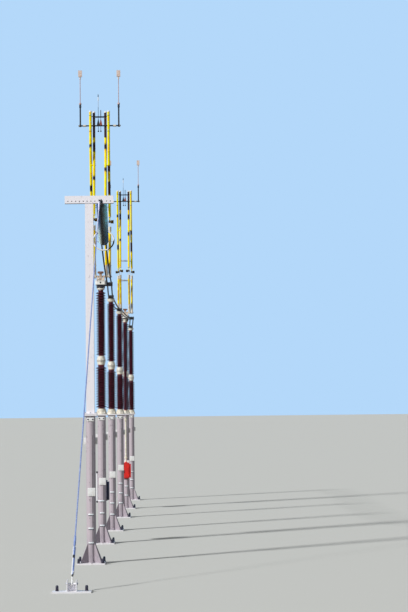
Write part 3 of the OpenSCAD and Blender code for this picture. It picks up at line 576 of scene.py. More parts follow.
# %% Coats that change with height
rail_l, bar_depth, hanger_foot, hanger_l = 1.066, 0.36, 0.56, 0.90
crank_s = lower_l + rail_off / math.sin(closed)
knee_z = pivot_z + lower_l * math.cos(closed)
crank_z = knee_z + crank_s * math.cos(closed)
tip_z = crank_z + rail_l
bar_z = tip_z - bar_depth
hanger_joint_z = bar_z + hanger_foot
clamp_z = hanger_joint_z + hanger_l
hanger_rod = coated("hanger rod", "#151116", "#08060a", 0.04, 0.6, zones=[
    (hanger_joint_z + 0.02, clamp_z - 0.19, "#d9b9b4", "#a98a88"),
    (clamp_z - 0.19, clamp_z + 1, "#f0ddd2", "#c9a99c")])
trapeze_rod = coated("trapeze rod", "#151116", "#08060a", 0.04, 0.6, zones=[
    (bar_z + 0.51, bar_z + 0.675, "#c3c6d2", "#8f93a6"),
    (bar_z + 0.675, bar_z + 0.785, "#fdfbfa", "#e9e4e4")])
# Under a drive the casting's top is painted dark, as painted shade from the housing above it
post_cast = coated("cast fitting under a drive", "#faf3e4", "#d6cbb6", 0.05, 0.55, 0.1, 0.0012,
                   specks="#93836f",
                   zones=[seam_zone, (insulator_top - 0.045, insulator_top + 1, "#2b2024", "#150f12")])
# Below its box the housing is painted dark, as painted shade under the box
housing_paint = coated("enamelled drive housing", "#fffdf8", "#f0ece2", 0.12, 0.35,
                       specks="#b9ae9c", zones=[(0, housing_low - 0.001, "#2b2024", "#150f12"),
                                                (housing_top + 0.001, pivot_z + 0.06, "#d8c2ad", "#8f7766"),
                                                (pivot_z + 0.06, pivot_z + 1, "#9a6f58", "#4d342c")])
print("bar at %.3f m, its clamps at %.3f m" % (bar_z, clamp_z))

# %% [markdown]
# ## Painted arms
# The pantograph's tubes are yellow, their tips are white, their cast ends are cream and the bridges
# between them are bare. Dark stretches of a hand or two on the rails are painted shadows of the arms'
# own parts, and the lower arms of one drive are darkened with painted shade. The paint changes
# with the distance from the pivot and with the height, so the material compares each point's place
# with those sizes. The pattern rides with the arm, because it is read in the arm's own coordinates.

# %% Sizes of the paint
root_to = 0.32
ferrule_from, ferrule_to = 1.255, 1.50
low_bridge, high_bridge, bridge_wide = 1.205, 1.916, 0.03
bridge_half = {"front": 0.115, "back": 0.205}
# Tones the lower arms darken to below the knees: the deep orange of the second drive is painted shade
lower_tone = {"2": "#f8c000", "5": "#c8860a"}
# Stretches of painted shadow on each frame's rails: side, middle height and half height
shadowed = {"front": [(-1, 9.81, 0.07), (-1, 10.68, 0.14), (1, 10.04, 0.07), (1, 10.67, 0.09)],
         "back": [(-1, 9.56, 0.10), (-1, 10.69, 0.06), (1, 9.55, 0.19), (1, 10.07, 0.10)]}
print("burnt stretches:", sum(len(stretches) for stretches in shadowed.values()))

# %% Painted arms


def arm_paint(name, post, which, low_shade):
    """Yellow, with cream where the distance from the pivot line is under root_to or in the ferrule,
    white above the tips, bare bridges, dark knees and stretches of painted shadow (side, middle, half
    height). Clouds of orange vary the yellow; below the knees they darken to a tone given for each
    drive, which paints shade onto the darker drive's lower arms, and they fray the edges of the
    painted shadows."""
    material, node, shader, place = new_material(name)
    axes = node("SeparateXYZ", place, out=None)
    over = node("Math SUBTRACT", axes["X"], float(post[0]))
    inner = node("Math LESS_THAN", node("Math ABSOLUTE", over, 0.0), bridge_half[which])
    along = node("Math SUBTRACT", axes["Y"], float(post[1]))
    above = node("Math SUBTRACT", axes["Z"], pivot_z)
    flat = node("CombineXYZ", Y=along, Z=above)
    reach = node("VectorMath LENGTH", flat, out="Value")
    clouds = node("TexNoise", place, Scale=7.0, Detail=5.0)
    yellow = node("ValToRGB", clouds, ramp=tones("#ffcc00", "#fff600"))
    # Below the knees the clouds darken to the drive's lower tone, which is painted shade
    below = node("Math LESS_THAN", axes["Z"], knee_z - 0.1)
    yellow = node("MixRGB", below, yellow, node("ValToRGB", clouds, ramp=tones(low_shade, "#ffea00")))
    cream = node("ValToRGB", clouds, ramp=tones("#c4b49e", "#f0e8d6"))
    ferrule = within(node, reach, ferrule_from, ferrule_to)
    cast = node("Math MAXIMUM", node("Math LESS_THAN", reach, root_to), ferrule)
    colour = node("MixRGB", cast, yellow, cream)
    frayed = node("Math ADD", axes["Z"], node("Math MULTIPLY", clouds, 0.16))
    # Each stretch is a painted shadow in dark brown
    for side, middle, half in shadowed[which]:
        same_side = node("Math GREATER_THAN", node("Math MULTIPLY", over, float(side)), 0.0)
        off = node("Math ABSOLUTE", node("Math SUBTRACT", frayed, middle + 0.08), 0.0)
        soft = node("MapRange", off, From_Min=half + 0.02, From_Max=half - 0.04)
        colour = node("MixRGB", node("Math MULTIPLY", same_side, soft), colour, "#3a2010")
    knee = within(node, axes["Z"], knee_z - 0.045, knee_z + 0.045)
    colour = node("MixRGB", knee, colour, node("ValToRGB", clouds, ramp=tones("#100a08", "#5c4510")))
    colour = node("MixRGB", node("Math GREATER_THAN", axes["Z"], tip_z), colour, "#fbf7f4")
    bridges = node("Math MAXIMUM", *(within(node, reach, b - bridge_wide, b + bridge_wide)
                                     for b in (low_bridge, high_bridge)))
    bare = node("ValToRGB", clouds, ramp=tones("#43527f", "#cdd8ea"))
    colour = node("MixRGB", node("Math MULTIPLY", inner, bridges), colour, bare)
    bar = node("Math MULTIPLY", inner, node("Math GREATER_THAN", axes["Z"], tip_z - 0.2))
    colour = node("MixRGB", bar, colour, "#16141c")
    bump = node("Bump", Strength=0.2, Distance=0.0003, Height=clouds)
    feed(shader, Base_Color=colour, Normal=bump, Roughness=0.5, Specular_IOR_Level=0.15)
    return material


# %% [markdown]
# ## Porcelain
# The post insulators are fired clay under a dark red-brown glaze, smooth enough for a clear highlight
# down every shed. Clouds of a redder tone stand for an uneven firing. A clear coat over a rough body
# would look the same, but one smooth layer is enough, since no bare clay shows.

# %% Glaze
glaze, node, shader, place = new_material("brown glazed porcelain")
clouds = node("TexNoise", place, Scale=20.0, Detail=3.0)
fired = node("ValToRGB", clouds, ramp=tones("#24060d", "#4f1220"))
feed(shader, Base_Color=fired, Roughness=0.1, Specular_IOR_Level=0.28, IOR=1.52)
print("glaze:", glaze.name)

# %% Finishes of the frame's nodes
finish(column_zinc, *column_of.values())
finish(mast_zinc, "mast_post", "mast_crossarm")
finish(anchor_zinc, "guy_anchor")
finish(casting_skin, *("castings_" + n for n in posts if n not in drives))
finish(clamp_grey, "conductor_clamps")
for n in drives:
    for which in ("front", "back"):
        paint = arm_paint("yellow enamel, %s %s" % (which, n), where[n], which, lower_tone[n])
        finish(paint, *("%s_%s_%s" % (part, which, n) for part in ("lower", "upper")))
    finish(strip_copper, "strips_front_" + n, "strips_back_" + n)
    for kind, material in (("trapeze", trapeze_rod), ("castings", post_cast), ("hangers", hanger_rod),
                           ("drive_housing", housing_paint), ("motor_box", box_paint[n]),
                           ("drive_shaft", shaft_paint)):
        finish(material, kind + "_" + n)
print("materials:", len(bpy.data.materials))

# %% [markdown]
# ## Sheds
# A post insulator is a porcelain core with a shed every 67 mm, which keeps a dry path in the rain. In
# the frame a shed is four corners; here each one has a hollow underside, a rolled drip edge and a
# slope that runs out into the core. Sheds could be copied as rings pushed over a rod. Here one shed's
# outline is repeated up the core and turned about it, which leaves no hidden faces inside.

# %% Porcelain
shed_pitch, shed_margin = 0.067, 0.04
lower_h, middle_h = 1.18, 0.23
upper_z = porcelain_foot + lower_h + middle_h
waist_z = porcelain_foot + lower_h + middle_h / 2
core_r = {"lower": 0.084, "upper": 0.066, "rotor": 0.042}
shed_r = {"lower": 0.140, "upper": 0.125, "rotor": 0.075}


def sheds(core, shed, h):
    """Nine points a shed from the core's radius to the shed's, repeated at even steps up the core."""
    count = int((h - 2 * shed_margin) / shed_pitch)
    step = (h - 2 * shed_margin) / count
    reach = shed - core
    r = np.array([core, core + 0.25 * reach, shed - 0.014, shed - 0.006, shed - 0.001, shed, shed - 0.005,
                  core + 0.3 * reach, core + 0.06 * reach])
    z = np.array([0.003, 0.005, 0.004, -0.003, -0.002, 0.010, 0.022, 0.040, 0.048])
    z = shed_margin + z + step * np.arange(count)[:, None]
    r = np.broadcast_to(r, z.shape)
    rows = np.stack([r, z], -1).reshape(-1, 2)
    return np.concatenate([[[core + 0.001, 0.0]], rows, [[core + 0.001, h]]])


stacks = {"lower": (porcelain_foot, lower_h), "upper": (upper_z, porcelain_top - upper_z)}
stack_shapes = [placed(turned(sheds(core_r[k], shed_r[k], h), 40), at(0, 0, z))
                for k, (z, h) in stacks.items()]
for n in posts:
    piece("sheds_" + n, joined(*stack_shapes), glaze, hides=["porcelain_" + n], crease=60,
          move=where[n])
print("sheds on one post:", triangles["sheds_3"], "triangles")

# %% [markdown]
# ## Rotating insulators
# Beside each disconnector a slim insulator turns, and works the arms from the ground. It has cast
# flanges at both ends, clamped to the shaft with bolts, and it rides on its own body. The helper that
# makes the posts' sheds makes these too, from a smaller core and narrower sheds.

# %% Rotating insulators
rotor_foot, rotor_top, journal_l = 0.12, 0.10, 0.075
flange = turned("92,0 92,20 78,24 60,50 56,120", 36)
flange_head = turned("54,0 56,70 74,78 74,100 30,102", 36)
journal, shaft_neck = turned("29.8,0 29.8,75"), turned("29.8,0 29.8,6")
rotor_seal = turned("50,0 52,6 50,22 44,24", 28)
for n in drives:
    body = "rotor_" + n
    spot = joint_at["rotor_turn_" + n] * (1, 1, 0)
    foot_z = float(low(body)[2]) + 0.004
    top_z = float(high(body)[2]) - journal_l
    shed_z = foot_z + rotor_foot
    shed_h = top_z - rotor_top - shed_z
    stack = turned(sheds(core_r["rotor"], shed_r["rotor"], shed_h), 32)
    piece("rotor_sheds_" + n, placed(stack, at(0, 0, shed_z)), glaze, body, [body], 60, spot)
    ends = joined(placed(flange, at(0, 0, foot_z)), placed(flange_head, at(0, 0, shed_z + shed_h)),
                  placed(journal, at(0, 0, top_z)), placed(shaft_neck, at(0, 0, foot_z - 0.004)))
    bolts = placed(hex_bolt(0.009, 0.009, 0.004), *ring_of(6, 0.082, foot_z + 0.020))
    seals = placed(rotor_seal, at(0, 0, shed_z), at(0, 0, shed_z + shed_h - 0.026))
    dress(n, spot, "casting", body, rotor_flanges=(ends, casting_skin), rotor_bolts=(bolts, bolt_zinc))
    dress(n, spot, "rotor", body, rotor_seals=(seals, seal_red))
print("rotors dressed:", len(drives))

# %% [markdown]
# ## Seals and flange bolts
# Porcelain is cemented into its castings, and a red compound keeps the water out of the joint. The
# castings are then bolted to each other and to the steel. Bolts that repeat are one shape placed many
# times, with a few dozen faces each.

# %% Seals, ribs and bolts of the posts


def seal_ring(core):
    """A low rounded band round the core, which stands on a casting or hangs from one."""
    return turned([(core + 0.010, 0), (core + 0.011, 0.008), (core + 0.007, 0.018), (core, 0.022)], 36)


foot_rib = plate_of(mm("-146,24 -113,24 -113,110 -117,110"), 0.007, (0, 0, 1))
spokes = [at(0, 0, column_top, side=(math.cos(t), math.sin(t), 0)) for t in TAU * np.arange(8) / 8]
post_ribs = placed(foot_rib, *spokes)
post_seals = joined(*(placed(seal_ring(core_r[k]), at(0, 0, z), down(0, 0, z + h))
                      for k, (z, h) in stacks.items()))
bolt_places = [*ring_of(8, 0.131, column_top + 0.024), *ring_of(8, 0.108, waist_z + 0.017, 0.0),
               *ring_of(8, 0.108, waist_z - 0.017, 0.0, down),
               *ring_of(6, 0.102, insulator_top - 0.030, 0.25, down)]
post_bolts = placed(hex_bolt(0.013, 0.014, 0.008), *bolt_places)
for n in posts:
    dress(n, where[n], "porcelain", seals=(post_seals, seal_red))
    dress(n, where[n], "casting", foot_ribs=(post_ribs, casting_skin), post_bolts=(post_bolts, bolt_zinc))
print("bolts on one post:", len(bolt_places))

# %% [markdown]
# ## Column feet
# A base plate stands on anchor bolts with a dark grease cap over each nut. The tube and its ribs are
# welded on, so a bead runs round the tube. A zinc strap earths the column: it comes down the front,
# held by three bright clips, and goes over the plate's edge into the ground. Caps, washers and beads are
# turned. The strap is a flat bar carried along its route, because nothing turned can bend like it.

# %% Sizes on a column
strap_w, strap_t, strap_x = 0.020, 0.004, 0.02
strap_y = -math.sqrt(tube_r**2 - strap_x**2) - strap_t
clip_heights = (0.49, 0.82, 1.14)
clip_w, clip_t, clip_shadow_w, clip_shadow_t = 0.034, 0.005, 0.016, 0.006
sign_w, sign_h, sign_x, sign_z = 0.18, 0.19, 0.015, 1.655
tag_w, tag_h, tag_z, tag_bolt_x = 0.165, 0.085, 3.328, 0.055
lug_x, lug_z = 0.135, 2.83
print("the strap's face is %.4f m from the column's middle" % -strap_y)

# %% Caps, washers and weld beads
cap = turned("37,0 37,8 31,11 29,85 24,101 14,109")
anchor_washer = turned("42,0 42,4 36,5")
bead = turned("105.5,30 120.5,30 117.5,38 109.5,42", 48)
head_bead = placed(turned("109.5,-12 117.5,-8 120.5,0 105.5,0", 48), at(0, 0, column_top - plate_t))
corners = [(sx * bolt_half, sy * bolt_half) for sx in (-1, 1) for sy in (-1, 1)]
caps = placed(cap, *(at(x, y, plate_t + 0.004) for x, y in corners))
washers = placed(anchor_washer, *(at(x, y, plate_t) for x, y in corners))
print("caps on a column:", len(corners))

# %% Strap and clips
flat_bar = np.array([(-0.5, -0.5), (0.5, -0.5), (0.5, 0.5), (-0.5, 0.5)])


def arc(r, z, first, last, section, steps=14):
    """A flat bar along a level arc between two angles in degrees, measured from +X."""
    a = np.radians(np.linspace(first, last, steps))
    route = np.stack([r * np.cos(a), r * np.sin(a), np.full(steps, z)], -1)
    return carried(route, flat_bar * section, (0, 0, 1))


# The strap runs down the tube's face, out over the plate in a soft bend, and down at its edge
route = [(strap_y, z) for z in (2.95, 2.2, 1.4, 0.7, 0.30)]
route += [(strap_y - 0.004, 0.12), (strap_y - 0.03, 0.055), (-0.22, plate_t + 0.006)]
route += [(-0.30, plate_t + 0.005), (-0.326, plate_t + 0.003), (-0.3275, 0.012), (-0.3280, 0.001)]
strap = carried([(strap_x, y, z) for y, z in route], flat_bar * (strap_t, strap_w), (1, 0, 0))
clips = [arc(tube_r + 0.010, z, -120, -60, (clip_t, clip_w)) for z in clip_heights]
# Under each clip a thin dark band is a painted shadow of the clip
clip_shadows = [arc(tube_r + 0.004, z - 0.026, -122, -58, (clip_shadow_t, clip_shadow_w)) for z in clip_heights]
clip_bolts = placed(hex_bolt(0.007, 0.006), *(front(-0.030, -tube_r - 0.0095, z) for z in clip_heights))
print("points on the strap's route:", len(route))

# %% Signs and lugs
sign = placed(block(sign_w, sign_h, 0.003, 0.012, 0.001), front(sign_x, -tube_r - 0.016, sign_z))
tag = placed(block(tag_w, tag_h, 0.006, 0.006, 0.001), front(0, -tube_r - 0.006, tag_z))
lug = block(0.050, 0.160, 0.004, 0.004, 0.001)
lugs = placed(lug, *(front(x, -0.0075, lug_z) for x in (-lug_x, lug_x)))
peg_heights = [sign_z - 0.07, sign_z + 0.07]
pegs = placed(turned("6,0 6,24", 10), *(front(sign_x, -tube_r + 0.004, z) for z in peg_heights))
heads = placed(hex_bolt(0.006, 0.005), *(front(sign_x, -tube_r - 0.019, z) for z in peg_heights))
tag_bolt_places = [front(x, -tube_r - 0.012, tag_z) for x in (-tag_bolt_x, tag_bolt_x)]
tag_bolts = placed(hex_bolt(0.014, 0.012), *tag_bolt_places)
print("a bare sign of %.2f x %.2f m" % (sign_w, sign_h))

# %% All columns
for name, spot in where.items():
    # The clips' painted shadow bands ride in the tag bolts' piece
    dress(name, spot, "galvanised", bolt_caps=(caps, cap_plastic),
          weld_beads=(joined(bead, head_bead), column_zinc), earthing_strap=(strap, column_zinc),
          clips=(joined(*clips, clip_bolts), bright_zinc), plates=(joined(sign, tag, lugs), white_enamel),
          plate_bolts=(joined(washers, pegs, heads), bolt_zinc),
          tag_bolts=(joined(tag_bolts, *clip_shadows), cap_plastic))
print("columns dressed:", len(where))

# %% Cable pipe
pipe_x, pipe_y, pipe_low, pipe_top = -0.135, -0.02, 1.11, 1.90
pipe = placed(turned([(0.018, 0), (0.018, pipe_top - pipe_low)]), at(pipe_x, pipe_y, pipe_low))
hold = arc(tube_r + 0.010, clip_heights[-1], -190, -120, (clip_t, clip_w))
sockets = placed(turned("22,0 22,50"), *(at(pipe_x, pipe_y, z) for z in (pipe_low - 0.02, pipe_top - 0.03)))
piece("cable_pipe", joined(pipe, hold), anchor_zinc, move=where["2"])
piece("pipe_sockets", sockets, cap_plastic, move=where["2"])
print("pipe: %.2f m" % (pipe_top - pipe_low))

# %% [markdown]
# ## Mast and crossarm
# The mast is a square hollow section, bolted through its foot flange to the first column's head. The
# crossarm is a channel welded on top. The frame's own solids stand for both, with the holes in the
# channel's web. A seam is a thin round bar carried round the post's outline. Every hole gets a turned
# plug with a low rim, so that the line of holes still shows from afar.

# %% Mast fittings
flange_z = column_top + plate_t
steps = (-0.125, 0, 0.125)
post_w, first_hole, hole_step, hole_count = 0.198, -0.495, 0.09, 12
mast_bolts = [way(x, y, z) for way, z in ((at, flange_z), (down, column_top - plate_t))
              for x in steps for y in steps if x or y]
piece("mast_bolts", placed(hex_bolt(0.015, 0.016, 0.012), *mast_bolts), bolt_zinc)
seam_path = np.array([(x, y, 0) for x, y in rounded(post_w, post_w, 0.012, 5)])
seam = carried(np.concatenate([seam_path, seam_path[:1]]), circle(0.006, 8), (0, 0, 1))
seams = placed(seam, at(0, 0, flange_z + 0.003), at(0, 0, mast_top - 0.003))
piece("mast_seams", seams, mast_zinc)
hole_plug = turned("12.5,0 12.5,2 8,3 7,1.5", 20)
plugs = [front(first_hole + hole_step * i, -0.055, hole_z) for i in range(hole_count)]
piece("crossarm_plugs", placed(hole_plug, *plugs), clamp_grey)
print("mast bolts:", len(mast_bolts), "plugs:", len(plugs))

# %% [markdown]
# ## Tension string
# Cap-and-pin discs hang in a chain: each iron cap holds a pin in cement, and the pin's ball sits in the
# next cap's socket. The glass has a smooth top and rings of ribs under it. Every disc is one outline
# turned about the string's own axis, and placed at even steps down the slope. An array modifier would
# repeat it too, but places worked out here also serve the shackles, the yoke and the ring.

# %% String of discs
slope, veer = math.radians(10), math.radians(2)
string_dir = np.array([-math.cos(slope) * math.sin(veer), math.cos(slope) * math.cos(veer),
                       -math.sin(slope)])
string_side = np.array([math.cos(veer), math.sin(veer), 0])
string_top = np.cross(string_side, string_dir)
string_start = np.array([0.285, 0.085, hole_z])
shackle_l, disc_count, disc_pitch, yoke_l = 0.16, 22, 0.146, 0.15
disc_row_l = disc_count * disc_pitch
string_l = shackle_l + disc_row_l + yoke_l
yoke_end = string_start + string_l * string_dir


def on_string(s, over=0.0, ahead=string_dir, side=string_side, rise=0.0):
    """The place at a distance down the string and over across it, with Z along it."""
    return at(*(string_start + s * string_dir + over * string_side + (0, 0, rise)), ahead=ahead, side=side)


# %% Glass
# The pressed glass is coloured with painted light and shade across the string: painted shade in the
# middle, where the discs cover each other, and painted light at its sides, where the sky shines through
# one rim at a time: blue to the left, sea green to the right, with a painted white glow low on the left
# and a deeper blue low on the right. The place across and along the string is (point - start) times
# the side, and times the line.
glass, node, shader, place = new_material("toughened glass, sea green")
from_start = node("VectorMath SUBTRACT", place, string_start)
along, over = [node("VectorMath DOT_PRODUCT", from_start, way, out="Value")
               for way in (string_dir, string_side)]
lower_end = node("MapRange", along, From_Min=1.4, From_Max=2.6)
rightward = node("MapRange", over, From_Min=0.0, From_Max=0.085)
leftward = node("MapRange", over, From_Min=-0.035, From_Max=-0.085)
left_tint = node("MixRGB", lower_end, "#1f6fb4", "#e6f6f0")
right_tint = node("MixRGB", lower_end, "#b4f4fb", "#2f8fbb")
painted_glass_light = node("MixRGB", leftward, node("MixRGB", rightward, "#03131c", right_tint), left_tint)
feed(shader, Base_Color=painted_glass_light, Roughness=0.08, IOR=1.5, Transmission_Weight=0.6)
print("glass:", glass.name)

# %% Discs
disc_places = [on_string(shackle_l + i * disc_pitch) for i in range(disc_count)]
shell = ("54,70 80,80 105,92 122,104 127.5,112 127,116 120,116 112,106 103,104 99,124 95,124 91,104 "
         "74,103 70,120 66,120 62,103 45,102 41,114 37,114 33,101 14,100")
cap_line = "18,-3 31,0 35,10 37,24 47,32 52,40 52,56 55,60 55,69 50,72"
pin_line = "20,99 16,106 10,110 10,140 17,147"
piece("glass_shells", placed(turned(shell, 48), *disc_places), glass,
      hides=["string_glass"], crease=50)
iron = [placed(joined(turned(cap_line, 32), turned(pin_line, 16)), *disc_places)]
print("glass:", triangles["glass_shells"], "triangles")

# %% Shackles, yoke and dead ends


def bow(half, length, r):
    """A U of round bar: two legs along Z, closed by a half circle at the far end."""
    a = np.linspace(0, math.pi, 13)
    turn = np.stack([half * np.cos(a), 0 * a, length - half + half * np.sin(a)], -1)
    return carried(np.concatenate([[(half, 0, 0)], turn, [(-half, 0, 0)]]), circle(r, 10), (0, 1, 0))


string_x = float(string_start[0])
yoke_s = string_l - 0.03
yoke_sides = [on_string(yoke_s, x, string_top, rise=z) for x, z in ((0, 0.006), (0, -0.014))]
pin_bolt = "19,0 19,12 12,14 12,78 18,80 18,90"
clevis = "13,0 24,10 24,50 13,60 13,100"
dead_end = ("20,-30 22,-20 22,20 29,30 29,80 26.5,85 26.5,110 29,115 29,140 26.5,145 26.5,170 29,175 "
            "29,200 22.5,240 20.5,240.5")
yoke_bolts = [on_string(yoke_s, x, string_top, rise=0.018) for x in (-half_gap, 0, half_gap)]
iron += [placed(block(0.030, 0.075, 0.060, 0.004, 0.003), at(string_x, 0.0475, mast_top + 0.022)),
         placed(turned(pin_bolt, 6), across(string_x - 0.038, 0.078, hole_z)),
         placed(bow(0.026, 0.085, 0.010), on_string(-0.012)),
         placed(bow(0.024, 0.080, 0.009), on_string(0.150, ahead=-string_dir, side=string_top)),
         placed(block(0.17, 0.06, 0.012, 0.02, 0.002), *yoke_sides),
         placed(hex_bolt(0.014, 0.012, 0.008), *yoke_bolts),
         placed(turned(clevis, 16), on_string(yoke_s - 0.10)),
         placed(turned(dead_end), *(on_string(string_l, x) for x in (-half_gap, half_gap)))]
piece("string_iron", joined(*iron), cap_iron, hides=["string_fittings"], crease=45)
print("iron:", triangles["string_iron"], "triangles")

# %% [markdown]
# ## Grading ring
# A tube bent to a ring spreads the field round the last discs. Two slim arms carry it from the yoke.
# The tube is a small circle turned about a far axis, which is how it is bent. Its lower right is
# painted dark as its shade side, by the direction from the ring's middle, so that it stays on one side.

# %% Ring helpers


def torus(big, small, around=96, section=20):
    """A circle of radius small, turned about Z at the distance big. Its last ring lies on its first."""
    a = np.linspace(0, TAU, around + 1)[:, None]
    b = np.linspace(0, TAU, section, endpoint=False)[None]
    r = big + small * np.cos(b)
    return ringed(np.stack([r * np.cos(a), r * np.sin(a), small * np.sin(b) + 0 * a], -1))


def string_point(s, over):
    """The point at a distance down the string and over across it."""
    return on_string(s, over)[:3, 3]


# %% Ring metal
ring_s = shackle_l + disc_row_l - 0.04
print("the ring is %.2f m down the string" % ring_s)
# The ring's lower right is painted dark as the shade it lies in, and the rest is left bright
ring_metal, node, shader, place = new_material("aluminium tube, sooty on one side")
from_middle = node("VectorMath SUBTRACT", place, string_point(ring_s, 0))
shaded = 0.87 * string_side - 0.5 * string_top * np.sign(string_top[2])
shade_by = node("VectorMath DOT_PRODUCT", from_middle, shaded, out="Value")
clouds = node("TexNoise", place, Scale=12.0, Detail=4.0)
shade_by = node("Math ADD", shade_by, node("Math MULTIPLY", clouds, 0.03))
painted_shade = node("MapRange", shade_by, From_Min=0.222, From_Max=0.240)
clean = node("ValToRGB", clouds, ramp=tones("#f0f0f2", "#ffffff"))
feed(shader, Base_Color=node("MixRGB", painted_shade, clean, "#141014"), Roughness=0.35)

# %% Ring
ring_r, ring_tube_r = 0.2575, 0.0175
ring_parts = [placed(torus(ring_r, ring_tube_r), on_string(ring_s))]
lug_over = 0.088
bends = [(ring_s, 0.253), (ring_s + 0.06, 0.240), (yoke_s - 0.02, 0.125), (yoke_s, lug_over)]
for x in (-1, 1):
    lug_at = at(*(string_point(yoke_s, x * lug_over) - (0, 0, 0.012)))
    ring_parts += [carried([string_point(s, x * over) for s, over in bends], circle(0.008, 12), (0, 0, 1)),
                   placed(block(0.018, 0.040, 0.024, 0.004, 0.002), lug_at)]
piece("ring", joined(*ring_parts), ring_metal, hides=["grading_ring"])
print("ring:", triangles["ring"], "triangles")

# %% [markdown]
# ## Stranded conductors and guy
# A stranded rope is a section with a bump for each outer wire, turned a little from row to row: after
# one lay length it has gone round once. Wires modelled one by one would cost ten times the faces for
# the same look. The conductors sag between clamps as a parabola: the sag times 4 t (1 - t).

# %% Rope helpers


def strand(path, r, wires, lay):
    """Every second point of the section lies at 0.92 r, and the section turns once in each lay length."""
    path = np.asarray(path, float)
    walked = np.r_[0, np.cumsum(np.linalg.norm(np.diff(path, axis=0), axis=1))]
    a = np.linspace(0, TAU, 2 * wires, endpoint=False)
    bumpy = r * np.where(np.arange(2 * wires) % 2, 0.92, 1.0)
    turn = a[None] + TAU * walked[:, None] / lay
    section = np.stack([bumpy * np.cos(turn), bumpy * np.sin(turn)], -1)
    return carried(path, section, (0, 0, 1))


def sagging(a, b, sag, step):
    """Points from a to b at most a step apart, with 4 sag t (1 - t) taken off their height."""
    n = max(int(np.linalg.norm(np.subtract(b, a)) / step), 1)
    t = np.linspace(0, 1, n + 1)[:, None]
    return np.asarray(a) + t * np.subtract(b, a) - 4 * sag * t * (1 - t) * (0, 0, 1)


print("points on a rope of one metre:", len(sagging((0, 0, 0), (0, 1, 0), 0.01, 0.05)))

# %% Conductor spans
grip_from, grip_to = 0.125, 0.24
clamp_half = np.array([0, 0.045, 0])
pass_x, pass_rise, post_rise = 0.235, 0.08, 0.075
rope_r, rope_wires, rope_lay, rope_sag = 0.020, 12, 0.42, 0.09
holds = [yoke_end]
for n in posts:
    off = (pass_x, 0, insulator_top + pass_rise) if n in drives else (0, 0, insulator_top + post_rise)
    holds.append(where[n] + off)
for i in range(1, len(holds)):
    begin = yoke_end + grip_to * string_dir if i == 1 else holds[i - 1] + clamp_half
    first = yoke_end + grip_from * string_dir if i == 1 else holds[i - 1]
    last = holds[i] + clamp_half if i == len(holds) - 1 else holds[i]
    route = np.concatenate([[first], sagging(begin, holds[i] - clamp_half, rope_sag, 0.055), [last]])
    ropes = [strand(route + (x, 0, 0), rope_r, rope_wires, rope_lay) for x in (-half_gap, half_gap)]
    piece("strands_%d" % i, joined(*ropes), black_strand,
          hides=["conductor_span_%d" % i], crease=30)
print("one span:", triangles["strands_2"], "triangles")

# %% [markdown]
# ## Guy, turnbuckle and anchor
# The guy pulls the mast's head back against the conductors. At its foot a turnbuckle with a threaded
# eye tightens it, on a pin between two cheeks of the anchor, and a wire keeps it from turning. All of
# it is placed by its distance along one line, so the parts stay in line whatever the slope is.

# %% Line of the guy
anchor = foot("guy_anchor")
pin_rise = 0.17
guy_top = np.array([0.24, -0.075, hole_z])
guy_foot = anchor + (0, 0, pin_rise)
guy_l = float(np.linalg.norm(guy_top - guy_foot))
guy_dir = (guy_top - guy_foot) / guy_l
guy_front = np.cross((1, 0, 0), guy_dir)
guy_front /= np.linalg.norm(guy_front)


def on_guy(s, over=0.0, out=0.0, side=(1, 0, 0)):
    """The place at a distance from the anchor's pin, over to the right and out to the front of the
    guy's line, with Z up the guy."""
    return at(*(guy_foot + s * guy_dir + (over, 0, 0) + out * guy_front), ahead=guy_dir, side=side)


print("guy:", round(guy_l, 2), "m")

# %% Guy rope and its hanging plate
guy_r, guy_wires, guy_lay, rope_from, top_sleeve_l = 0.014, 9, 0.22, 0.90, 0.30
rope = strand(sagging(guy_foot + rope_from * guy_dir, guy_top, 0, 0.03), guy_r, guy_wires, guy_lay)
low_sleeve = turned("24,0 24,160 21,165 21,200 14.5,240")
high_sleeve = turned("14.5,0 21,40 21,200 26,210 26,270")
guy_sleeves = joined(placed(low_sleeve, on_guy(rope_from - 0.015)),
                     placed(high_sleeve, on_guy(guy_l - top_sleeve_l)))
piece("guy_strands", joined(rope, guy_sleeves), guy_strand, hides=["guy_rope"], crease=30)
top_lug = placed(block(0.024, 0.060, 0.060, 0.008, 0.003), at(guy_top[0], -0.085, mast_top + 0.022))
hang_plate = placed(plate_of(mm("4,-40 4,32 60,16 96,4 96,-12"), 0.004), at(string_x, -0.060, mast_top))
hang_nut = placed(hex_bolt(0.016, 0.014, 0.012), front(string_x, -0.063, hole_z))
piece("hanging_plate", joined(top_lug, hang_plate, hang_nut), cap_iron)
print("guy rope:", triangles["guy_strands"], "triangles")

# %% Turnbuckle
# The turnbuckle's frame stands turned about its line, so its two side bars are seen close together
over_share, out_share = 0.5, 0.87
frame_from, frame_to, bar_off = 0.23, 0.77, 0.034
turned_side = over_share * np.array([1, 0, 0]) + out_share * guy_front
bar = turned("12,0 12,580", 16)
shaded_bar, far_bar = (on_guy(frame_from, k * over_share, k * out_share) for k in (bar_off, -bar_off))
frame_ends = placed(block(0.090, 0.040, 0.040, 0.010, 0.005),
                    *(on_guy(s, side=turned_side) for s in (frame_from, frame_to)))
eye_ring = placed(torus(0.033, 0.013, 40, 12), across(*guy_foot))
eye_neck = placed(turned("15,40 15,290"), on_guy(0))
piece("turnbuckle", joined(eye_ring, eye_neck, frame_ends, placed(bar, far_bar)), white_enamel,
      hides=["guy_turnbuckle"])
